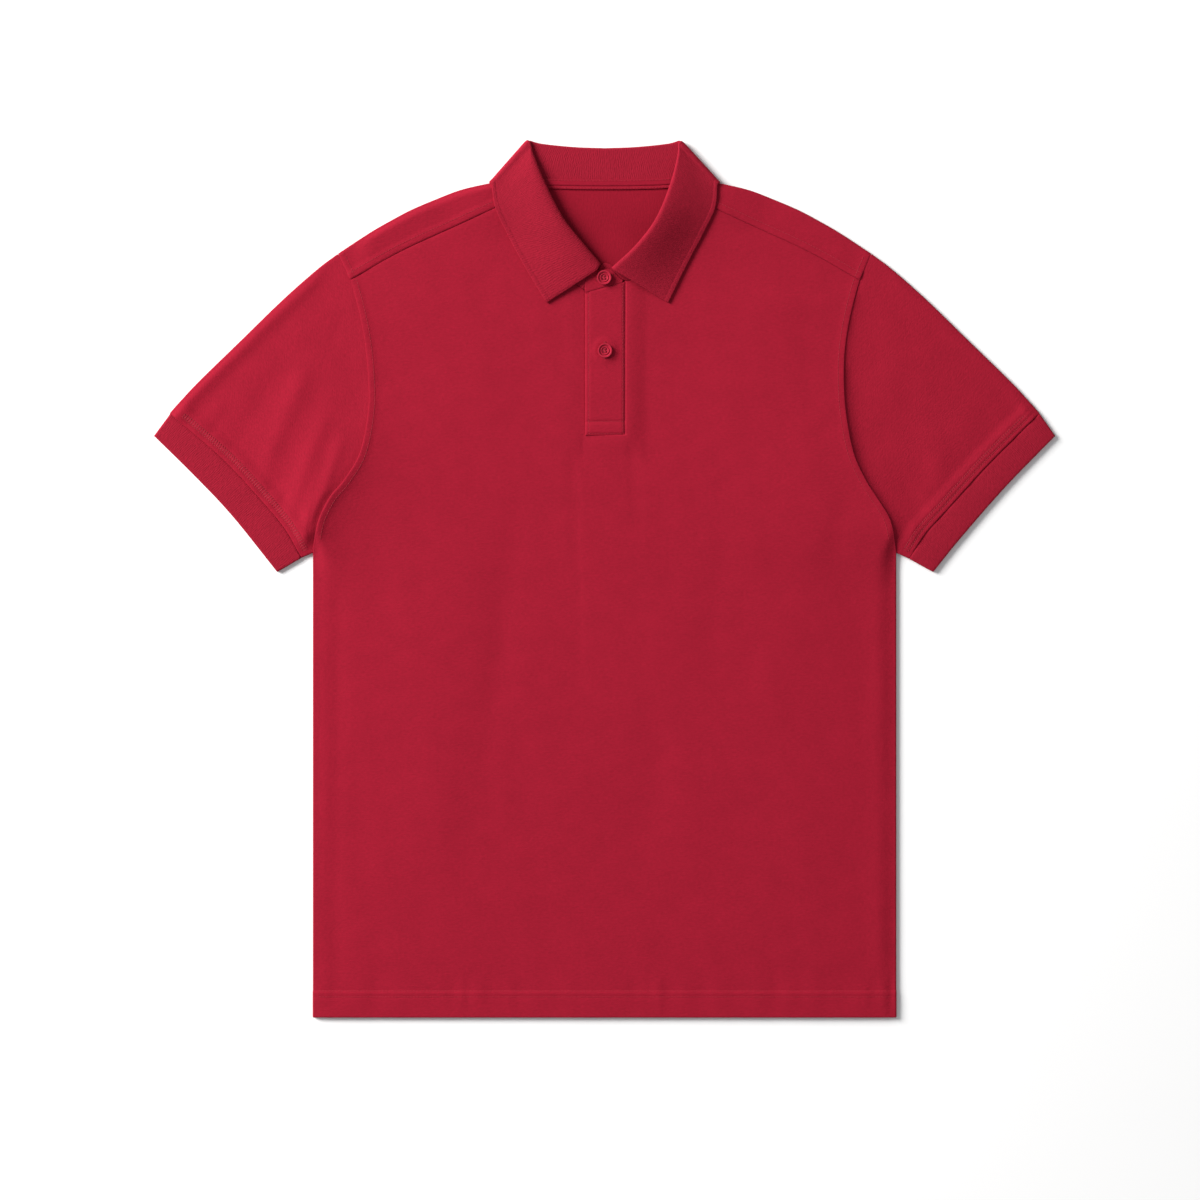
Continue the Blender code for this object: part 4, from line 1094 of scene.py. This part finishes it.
def collar_back():
    """Half of the collar's back in outward x, from the shoulder to the middle."""
    table = placed(smooth(COLLAR_BACK), np.linspace(0, 1, 38) ** 1.3)
    table[:, 1:3] = rounded_tip(table[:, 1:3], (0.0, TIP_LIFT))
    y = neck_back(table[:, 0]) + GAP + 0.15
    y[0] = COLLAR_CORNER_Y
    seam = raised(np.column_stack([table[:, 0], y]), np.full(len(table), COLLAR_LIFT + 1.0))
    edge = raised(table[:, 3:5], np.full(len(table), RIB / 2 + 0.3))
    return collar_column(seam, table[:, 1:3], edge, np.full(len(table), RIB / 2 + ROLL), None)


# %% Knit the collar
BORDER = 3.4  # width of the leaf's thicker border


def collar_knit():
    """One ring: a front, the turn at the shoulder, the back, and the same again."""
    back_half = collar_back()
    halves = {}
    for side in (-1, 1):
        half = collar_front(side)
        fold = (half[0, :, :2] + back_half[0, :, :2]) / 2
        half[0, :, :2] = back_half[0, :, :2] = fold
        out = np.tile(unit(np.array(COLLAR_OUT)), (len(fold), 1))
        turn = half_turn(fold, out, back_half[0, :, 2], half[0, :, 2], 10)
        halves[side] = np.concatenate([half[::-1], turn[::-1], back_half]) * (side, 1, 1)
    ring = np.concatenate([halves[-1], halves[1][-2::-1]])
    steps = np.linalg.norm(np.diff(ring, axis=1), axis=2)
    up = np.concatenate([np.zeros((len(ring), 1)), np.cumsum(steps, axis=1)], axis=1)
    far = up[:, -1:] - up
    thick = RIB - 0.15 + 0.3 * (1 - ease(far, BORDER - 0.6, BORDER + 0.2))
    thick = thick - 0.16 * bell(far, BORDER + 0.7, 0.5)
    round_row = lengths(ring[:, len(STAND_SHARES) + 5, :2])
    lie = np.stack([np.broadcast_to(round_row[:, None], up.shape), up], axis=-1)
    return cloth("collar_knit", ring, thick, flat_knit, lie)


collar = collar_knit()

# %% [markdown]
# ## The placket, the collar's band and the neck tape
# The placket is a folded strip that closes the slot, left over right. It is sewn down along both
# edges and across its foot. The two ends of the collar's band overlap above it, and a woven tape
# covers the neck seam inside. Each is a small sheet, so each is a small grid.

# %% Cut the band's ends
# x, y of the lower edge, y of the upper edge
BAND_OVER = (
    (-17.4, 647.0, 658.0), (-16.6, 647.2, 660.8), (-14.6, 647.9, 663.0), (-11.0, 648.9, 664.9),
    (-5.0, 650.5, 666.8), (1.2, 652.1, 667.6), (6.4, 653.5, 666.4), (11.6, 654.9, 661.6),
    (16.4, 656.2, 657.7),
)
BAND_UNDER = (
    (-17.1, 647.4, 648.9), (-12.0, 648.7, 657.4), (-6.0, 650.3, 667.0), (-1.4, 651.5, 672.6),
    (4.0, 653.0, 672.2), (10.0, 654.6, 669.0), (15.6, 656.1, 664.6), (17.1, 656.5, 661.6),
)
BAND_HEIGHT = {"over": 4.5, "under": 2.5}
BAND_LAP = {"over": 1.1, "under": 0.0}  # how far it covers the placket's thin upper end


def band_cloth(word, table):
    """One end of the collar's band, drawn in by its rounded edge."""
    line = smooth(table, 5)
    keep = RIM * BAND / 2
    line[:, 0] = np.interp(line[:, 0], (line[0, 0], line[-1, 0]), (line[0, 0] + keep, line[-1, 0] - keep))
    low = line[:, 1] + keep - BAND_LAP[word]
    high = np.maximum(line[:, 2] - keep, line[:, 1] + keep + 0.3)
    share = np.linspace(0, 1, 13)
    y = low[:, None] * (1 - share) + high[:, None] * share
    x = np.broadcast_to(line[:, :1], y.shape)
    rim = high[:, None] - y
    thick = BAND - 0.6 * (1 - ease(rim, 0, 3)) - 0.2 * bell(rim, 2.6, 0.5)
    height = BAND_HEIGHT[word] - (BAND - thick) * 0.35
    if word == "over":
        lap = 1 - ease(y - low[:, None], 1.0, 2.6)
        thick, height = thick - lap * (thick - 0.5), height + lap * (4.95 - height)
    middle = np.stack([x, y, height], axis=-1)
    return cloth(f"band_{word}_cloth", middle, thick, pique, middle[..., :2])


bands = [band_cloth("over", BAND_OVER), band_cloth("under", BAND_UNDER)]


# %% The placket's lines
NECK_MIDDLE, NECK_SLOPE = 651.3, 0.268  # the neck seam on the centre line, and how it rises to the right
EDGE_STEPS = (0.6, 1.4, 2.2, 2.9, 3.6, 4.6)  # lines of the grid beside an edge
FOOT_SHARES = (0.006, 0.013, 0.02, 0.03, 0.06, 0.085, 0.093, 0.1, 0.11)
HEAD_SHARES = (0.004, 0.008, 0.012, 0.016, 0.022, 0.035)
SIDE_STITCHES = (PLACKET_LEFT + 3.4, PLACKET_RIGHT - 2.0)  # x of the rows along the placket
BOX_STITCHES = (PLACKET_BASE + 1.6, PLACKET_BASE + 12.6)  # y of the rows across its foot


def neck_line(x):
    """y of the neck seam across the placket."""
    return NECK_MIDDLE + NECK_SLOPE * x


def button_size(cad_node):
    """Centre, radius and depth of a button in the CAD model, in metres."""
    low, high = (np.array(corner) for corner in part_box(cad_node))
    return (low + high) / 2, (high[0] - low[0]) / 2, high[2] - low[2]


def button_centre(cad_node):
    """The same centre in the plan of the pattern, in millimetres."""
    return button_size(cad_node)[0][:2] * 1000 + (0, LENGTH / 2)


def dimple(x, y, centre):
    """The low ring of cloth that stands up round a button, which is pulled into it."""
    return bell(np.hypot(x - centre[0], y - centre[1]), 8.3, 2.6)


# %% Cut the plackets
PLACKET_HEIGHT = {"over": 4.25, "under": 2.25}


def placket_cloth(word, left, right, base, thick):
    keep = RIM * thick / 2
    x = graded(left + keep, right - keep, 26, first=EDGE_STEPS, last=EDGE_STEPS)
    top = neck_line(x) - GAP / 2 - keep
    rows = graded(0, 1, 60, first=FOOT_SHARES, last=HEAD_SHARES)
    y = (base + keep) * (1 - rows[None, :]) + top[:, None] * rows[None, :]
    x = np.broadcast_to(x[:, None], y.shape)
    height = np.full(y.shape, PLACKET_HEIGHT[word])
    if word == "over":
        edge = np.minimum(np.minimum(x - left, right - x), y - base)
        thick = thick - 0.65 * (1 - ease(edge, 0, 3.2))
        height = height - (PLACKET_WALL - thick) * 0.35
        lap = 1 - ease(neck_line(x) - y, 1.0, 1.9)
        thick, height = thick - lap * (thick - 1.0), height + lap * (4.5 - height)
        for line, dip in zip(SIDE_STITCHES, (0.3, 0.14)):
            height = height - dip * bell(x, line, 0.6)
        for line, dip in zip(BOX_STITCHES, (0.4, 0.7)):
            height = height - dip * bell(y, line, 0.8)
        height = height + puckers(y - base, np.abs(x - SIDE_STITCHES[0]), 81, 8.0, 5.0, 0.08)
        height = height + 0.03 * waviness(x, y, 9) + 0.8 * dimple(x, y, button_centre("button_lower"))
    middle = np.stack([x, y, height], axis=-1)
    return cloth(f"placket_{word}_cloth", middle, thick, pique, middle[..., :2])


plackets = [
    placket_cloth("over", PLACKET_LEFT, PLACKET_RIGHT, PLACKET_BASE, PLACKET_WALL),
    placket_cloth("under", PLACKET_LEFT + 2.0, PLACKET_RIGHT - 2.0, SLOT_BASE + GAP, PIQUE),
]

# %% Cut the neck tape
TAPE_DEEP, TAPE_HALF, TAPE_HEIGHT = 9.0, 62.0, 4.7
TAPE_SHIFT = 1.5  # how far its middle lies beyond the neckline


def tape_cloth():
    keep = RIM * TAPE / 2
    x = np.linspace(-TAPE_HALF + keep, TAPE_HALF - keep, 61)
    across = graded(-TAPE_DEEP / 2 + keep, TAPE_DEEP / 2 - keep, 28)
    y = (neck_back(x) + TAPE_SHIFT)[:, None] + across
    step = 0.5 * (1 - ease(across, -1.9, -0.7)) + 0.5 * bell(across, -1.4, 0.5)
    height = np.broadcast_to(TAPE_HEIGHT - step, y.shape)
    middle = np.stack([np.broadcast_to(x[:, None], y.shape), y, height], axis=-1)
    return cloth("neck_tape_cloth", middle, TAPE, tape_weave, middle[..., :2])


tape = tape_cloth()

# %% [markdown]
# ## Stitches
# Thread in the shirt's own colour holds every seam. One stitch is modelled, as a short bar with
# rounded ends, then copied along each row and joined to one mesh for each piece of cloth. A ray finds
# the cloth under both ends of a stitch, so each one lies half sunk in it and follows its puckers.

# %% Rods and their end faces
def rod(vertices, radius, depth, **placing):
    """A new cylinder, selected alone, with its place and its turn taken into its points."""
    bpy.ops.object.select_all(action="DESELECT")
    bpy.ops.mesh.primitive_cylinder_add(vertices=vertices, radius=radius, depth=depth, **placing)
    bpy.ops.object.transform_apply(location=True, rotation=True, scale=True)
    return bpy.context.object


def pick_end(obj, axis, way):
    """Selects, in edit mode, just the faces that look this way along an axis."""
    bpy.ops.mesh.select_all(action="DESELECT")
    bm = bmesh.from_edit_mesh(obj.data)
    for face in bm.faces:
        face.select_set(face.normal[axis] * way > 0.9)
    bmesh.update_edit_mesh(obj.data)


# %% Model one stitch
STITCH, PITCH, THREAD = 2.2, 2.8, 0.42  # length, repeat and thickness


def one_stitch():
    """A bar along x, 1 long and 1 thick, as its points and its faces."""
    bar = rod(6, 0.5, 0.8, rotation=(0, math.pi / 2, 0))
    bpy.ops.object.mode_set(mode="EDIT")
    for way in (-1, 1):
        pick_end(bar, 0, way)
        bpy.ops.mesh.extrude_region_move(TRANSFORM_OT_translate={"value": (0.1 * way, 0, 0)})
        bpy.ops.transform.resize(value=(1, 0.55, 0.55))
    bpy.ops.object.mode_set(mode="OBJECT")
    points = np.array([point.co[:] for point in bar.data.vertices])
    faces = [list(face.vertices) for face in bar.data.polygons]
    bpy.data.objects.remove(bar)
    return points, faces


def in_order(points, faces):
    """The same mesh with its points and faces sorted, since extrusion may order them differently on
    each run."""
    order = np.lexsort(points.round(4).T)
    rank = np.argsort(order).tolist()
    faces = [[rank[corner] for corner in face] for face in faces]
    firsts = [face.index(min(face)) for face in faces]
    return points[order], sorted(face[first:] + face[:first] for face, first in zip(faces, firsts))


BAR_POINTS, BAR_FACES = in_order(*one_stitch())
print(f"one stitch: {len(BAR_POINTS)} points, {len(BAR_FACES)} faces")


# %% Find the cloth beneath
def ground(obj):
    """A tree of a piece's faces, for rays to be dropped on."""
    mesh = obj.data
    return BVHTree.FromPolygons([v.co[:] for v in mesh.vertices], [p.vertices[:] for p in mesh.polygons])


def dropped(tree, line, above=True):
    """Points of a plan line, dropped onto a piece from above or lifted to it from below."""
    up = 1 if above else -1
    found = np.full((len(line), 3), np.nan)
    for place, (x, y) in enumerate(line):
        start = Vector((x / 1000, (y - LENGTH / 2) / 1000, 0.05 * up))
        hit = tree.ray_cast(start, Vector((0, 0, -up)))[0]
        if hit is not None:
            found[place] = x, y, hit.z * 1000
    return found


# %% Rows of stitches
# how far a stitch's middle lies above where the rays met the cloth, as a share of its thickness, for
# the rows seen from above and for those beneath
SUNK = {True: 0.12, False: 0.42}


def run_of_stitches(tree, line, above=True, pitch=PITCH, stitch=STITCH):
    """The two ends of each stitch of a running row along a plan line."""
    line = np.asarray(line, float)[:, :2]
    total = lengths(line)[-1]
    count = int(total / pitch)
    starts = (total - count * pitch + pitch - stitch) / 2 + pitch * np.arange(count)
    ends = [dropped(tree, spaced(line, (starts + shift) / total), above) for shift in (0, stitch)]
    return np.stack(ends, axis=1)


def ladder(tree, line, near, far, pitch):
    """The two ends of each stitch that crosses a line, between two distances to its right."""
    count = int(lengths(line)[-1] / pitch)
    rungs = even(line, count)
    return np.stack([dropped(tree, moved(rungs, reach)) for reach in (near, far)], axis=1)


def stitches(name, rows, thick=THREAD, above=True, steep=0.9):
    """All of a piece's stitches, as one joined mesh."""
    ends = np.concatenate(rows)
    along = ends[:, 1] - ends[:, 0]
    good = np.isfinite(along).all(axis=1)
    good[good] &= np.abs(along[good, 2]) < steep * np.linalg.norm(along[good, :2], axis=1)
    ends, along = ends[good], along[good]
    aside = unit(np.cross((0, 0, 1), along)) * thick
    up = unit(np.cross(along, aside)) * thick
    middle = ends.mean(axis=1) + up * SUNK[above]
    points = middle[:, None]
    for share, axis in zip(BAR_POINTS.T, (along, aside, up)):
        points = points + share[None, :, None] * axis[:, None]
    count = len(BAR_POINTS)
    faces = [[corner + k * count for corner in face] for k in range(len(middle)) for face in BAR_FACES]
    obj = mesh_object(name, points.reshape(-1, 3), faces, thread)
    obj.data.polygons.foreach_set("use_smooth", [len(face) == 4 for face in faces])
    print(f"{name}: {len(middle)} stitches")
    return obj


# %% The thread's finish
thread, thread_tree, thread_shader = plain_finish("red_thread", 0.55, sheen=0.05, specular=0.3)
thread_place = node(thread_tree, "TexCoord", {}).outputs["Object"]
twist = noise(thread_tree, thread_place, 1500.0, 2.0)
thread_colour = mixed(thread_tree, twist, tint((136, 19, 38)), tint((170, 30, 51)))
dress(thread_tree, thread_shader, thread_colour, bump=relief(thread_tree, twist, 0.4, 0.0001))

# %% Sew the front
HEM_LINES = [[(-256.0, y), (256.0, y)] for y in HEM_STITCHES]
front_ground = ground(front)
rows = []
for side in (-1, 1):
    arm = moved(even(armhole(side)[0], 60), -ARM_STITCH)[3:]
    rows.append(run_of_stitches(front_ground, arm * (side, 1)))
rows += [run_of_stitches(front_ground, line) for line in HEM_LINES]
front_stitches = stitches("front_stitches", rows)

# %% Sew the back
back_ground = ground(back)
rows = [run_of_stitches(back_ground, line, above=False) for line in HEM_LINES]
hem_stitches_behind = stitches("back_hem_stitches", rows, above=False)
rows = []
for side in (-1, 1):
    rows.append(run_of_stitches(back_ground, moved(even(forward_seam(side), 40), STRIP_STITCH) * (side, 1)))
    line = moved(even(armhole(side)[1], 8), -ARM_STITCH)[:-1]
    rows.append(run_of_stitches(back_ground, line * (side, 1)))
shoulder_stitches = stitches("shoulder_stitches", rows)

# %% Sew the cuffs on
sleeve_stitches = {}
for word, side in SIDES.items():
    sleeve_ground = ground(sleeves[side])
    line = smooth(CUFF_SEAM[side])[2:-2]
    rows = [ladder(sleeve_ground, line * (side, 1), -4.6 * side, -8.6 * side, 2.3)]
    for reach in CUFF_STITCHES:
        row = moved(line, -reach) * (side, 1)
        rows.append(run_of_stitches(sleeve_ground, row, pitch=2.3, stitch=1.8))
    sleeve_stitches[side] = stitches(f"cuff_stitches_{word}", rows, thick=0.55)

# %% Sew the placket and the tape
placket_ground = ground(plackets[0])
foot = BOX_STITCHES[0]
lines = [[(x, foot), (x, neck_line(x) - 2.0)] for x in SIDE_STITCHES]
lines += [[(PLACKET_LEFT + 1.6, y), (PLACKET_RIGHT - 1.2, y)] for y in BOX_STITCHES]
rows = [run_of_stitches(placket_ground, line) for line in lines]
placket_stitches = stitches("placket_stitches", rows)
tape_ground = ground(tape)
tape_x = np.linspace(-60, 60, 41)
tape_line = np.column_stack([tape_x, neck_back(tape_x) + TAPE_SHIFT])
rows = [run_of_stitches(tape_ground, tape_line + (0, shift)) for shift in (-3.3, 3.2)]
tape_stitches = stitches("tape_stitches", rows)

# %% [markdown]
# ## Buttons
# Two matt red four-hole buttons close the placket and the collar's band. Each is a turned disc: a
# flat back, a raised rim and a well with the holes. It starts as a cylinder, its top is inset and
# sunk for the well, four rods are cut away for the holes, and a small bevel takes off every edge.
# Two bars of thread go down through the holes, and a buttonhole of close stitches shows past the rim.

# %% The button's finish
button_finish, button_tree, button_shader = plain_finish("matt_red_button", 0.6, specular=0.2)
button_place = node(button_tree, "TexCoord", {}).outputs["Object"]
cloud = noise(button_tree, button_place, 260.0)
grain = noise(button_tree, button_place, 2600.0, 2.0)
button_colour = mixed(button_tree, cloud, tint((152, 23, 45)), tint((174, 33, 57)))
button_rough = weighed(button_tree, ((cloud, 0.7), (grain, 0.25)))
button_bump = relief(button_tree, grain, 0.25, 0.00005)
dress(button_tree, button_shader, button_colour, button_rough, button_bump)


# %% Turn a disc
# each inset of the top, and how deep it is then sunk, as shares of the radius and of the depth
INSETS = ((0.16, 0.0), (0.12, 0.42), (0.1, 0.0), (0.06, -0.22), (0.06, 0.0), (0.07, 0.24))
WELL = sum(sink for _, sink in INSETS)  # how deep the well's floor lies


def turned_disc(name, centre, radius, deep):
    disc = rod(48, radius, deep, location=centre)
    disc.name = disc.data.name = name
    bpy.ops.object.mode_set(mode="EDIT")
    pick_end(disc, 2, 1)
    for inset, sink in INSETS:
        bpy.ops.mesh.inset(thickness=radius * inset)
        bpy.ops.transform.translate(value=(0, 0, -sink * deep))
    bpy.ops.object.mode_set(mode="OBJECT")
    return disc


# %% Drill the holes and take off the edges
HOLE_APART, HOLE = 0.00128, 0.00062  # half the distance between holes, and a hole's radius


def only(obj):
    """Selects one object and nothing else."""
    bpy.ops.object.select_all(action="DESELECT")
    obj.select_set(True)
    bpy.context.view_layer.objects.active = obj


def drill(disc, centre, deep):
    rods = []
    for x, y in ((-1, -1), (-1, 1), (1, 1), (1, -1)):
        place = centre + np.array((x, y, 0)) * HOLE_APART
        bpy.ops.mesh.primitive_cylinder_add(vertices=16, radius=HOLE, depth=3 * deep, location=place)
        rods.append(bpy.context.object)
    only(rods[0])
    for each in rods:
        each.select_set(True)
    bpy.ops.object.join()
    cutter = bpy.context.object
    only(disc)
    holes = disc.modifiers.new("holes", "BOOLEAN")
    holes.object, holes.solver = cutter, "EXACT"
    bpy.ops.object.modifier_apply(modifier="holes")
    edges = disc.modifiers.new("edges", "BEVEL")
    edges.width, edges.segments = 0.00022, 3
    edges.limit_method, edges.angle_limit = "ANGLE", math.radians(28)
    bpy.ops.object.modifier_apply(modifier="edges")
    bpy.ops.object.shade_smooth_by_angle(angle=math.radians(40))
    bpy.data.objects.remove(cutter)
    disc.data.materials.clear()
    disc.data.materials.append(button_finish)


# %% Make the buttons and sew them on
def sewn_button(name, cad_node):
    """A button at its CAD node's place, and its thread: two bars and a third across them."""
    centre, radius, deep = button_size(cad_node)
    disc = turned_disc(name, centre, radius, deep)
    drill(disc, centre, deep)
    print(f"{name}: {2000 * radius:.1f} mm across, {len(disc.data.polygons)} faces")
    floor = (centre[2] + (0.5 - WELL) * deep) * 1000
    half = HOLE_APART * 1000
    bars = np.array([
        [(-half, k * half, floor + rise), (half, end * half, floor + rise)]
        for k, end, rise in ((-1, -1, 0.1), (1, 1, 0.1), (1, -1, 0.35))
    ])
    bars[..., :2] += button_centre(cad_node)
    return disc, stitches(f"{name}_sewing", [bars], thick=0.62)


BUTTONS = {"button_top": "collar_button", "button_lower": "placket_button"}
buttons = {cad_node: sewn_button(name, cad_node) for cad_node, name in BUTTONS.items()}

# %% Buttonholes
HOLE_LONG = 14.6


def buttonhole(name, tree, cad_node, way):
    """Close stitches on both sides of a slit beneath a button, and a bar at each end."""
    centre = button_centre(cad_node)
    way = np.array(way) / np.linalg.norm(way)
    line = np.array([centre - way * HOLE_LONG / 2, centre + way * HOLE_LONG / 2])
    rows = [ladder(tree, even(line, 20), near, far, 0.55) for near, far in ((0.25, 1.15), (-0.25, -1.15))]
    for end in (0, 1):
        bar = even(line[[end, end]] + way * ((0,), (0.4,)), 1)
        rows.append(ladder(tree, bar, -1.1, 1.1, 0.35))
    return stitches(name, rows, thick=0.4)


placket_buttonhole = buttonhole("placket_buttonhole", placket_ground, "button_lower", (0.0, 1.0))
band_buttonhole = buttonhole("band_buttonhole", ground(bands[0]), "button_top", (1.0, NECK_SLOPE))

# %% [markdown]
# ## The pieces on the shirt's body
# Each sheet rides on the shirt's one body with its stitches, and the CAD solid that it stands for is
# hidden.

CLOTHS = (
    (back, "back_panel", "pique", (0.5204, 0.8050), [], [shoulder_stitches, hem_stitches_behind]),
    (front, "front_panel", "pique", (0.5204, 0.7290), [back], [front_stitches]),
    (sleeves[-1], "sleeve_left", "pique", (0.5300, 0.2150), [], [sleeve_stitches[-1]]),
    (sleeves[1], "sleeve_right", "pique", (0.5300, 0.2150), [], [sleeve_stitches[1]]),
    (cuffs[-1], "cuff_left", "rib_knit", (0.3450, 0.0290), [], []),
    (cuffs[1], "cuff_right", "rib_knit", (0.3400, 0.0265), [], []),
    (collar, "collar", "rib_knit", (0.4600, 0.0850), [front, back], []),
    (bands[0], "collar_band_over", "pique", (0.0340, 0.0190), [bands[1]], [band_buttonhole]),
    (bands[1], "collar_band_under", "pique", (0.0340, 0.0210), [back], []),
    (plackets[0], "placket_over", "pique", (0.0358, 0.1340), [front, plackets[1]],
     [placket_stitches, placket_buttonhole]),
    (plackets[1], "placket_under", "pique", (0.0347, 0.1280), [back], []),
    (tape, "neck_tape", "tape", (0.1240, 0.0102), [back], [tape_stitches]),
)
for obj, cad_node, slot, flat, below, sewn in CLOTHS:
    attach(obj, "root")
    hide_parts(cad_node)
    for piece in sewn:
        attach(piece, "root")

for cad_node, (disc, sewing) in buttons.items():
    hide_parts(cad_node)
    for piece in (disc, sewing):
        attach(piece, "root")

# %% The table
bpy.ops.object.select_all(action="DESELECT")
bpy.ops.mesh.primitive_plane_add(size=8.0, location=(0, 0, -0.0002))
table = bpy.context.object
table.name = "white_table"
table_finish, table_tree, table_shader = plain_finish("white_table_top", 0.9, specular=0.2)
table_grain = node(table_tree, "TexNoise", {"Scale": 40.0, "Detail": 2.0}).outputs[0]
table_white = mixed(table_tree, table_grain, (0.95, 0.95, 0.95, 1.0), (0.965, 0.965, 0.965, 1.0))
dress(table_tree, table_shader, table_white)
table.data.materials.append(table_finish)
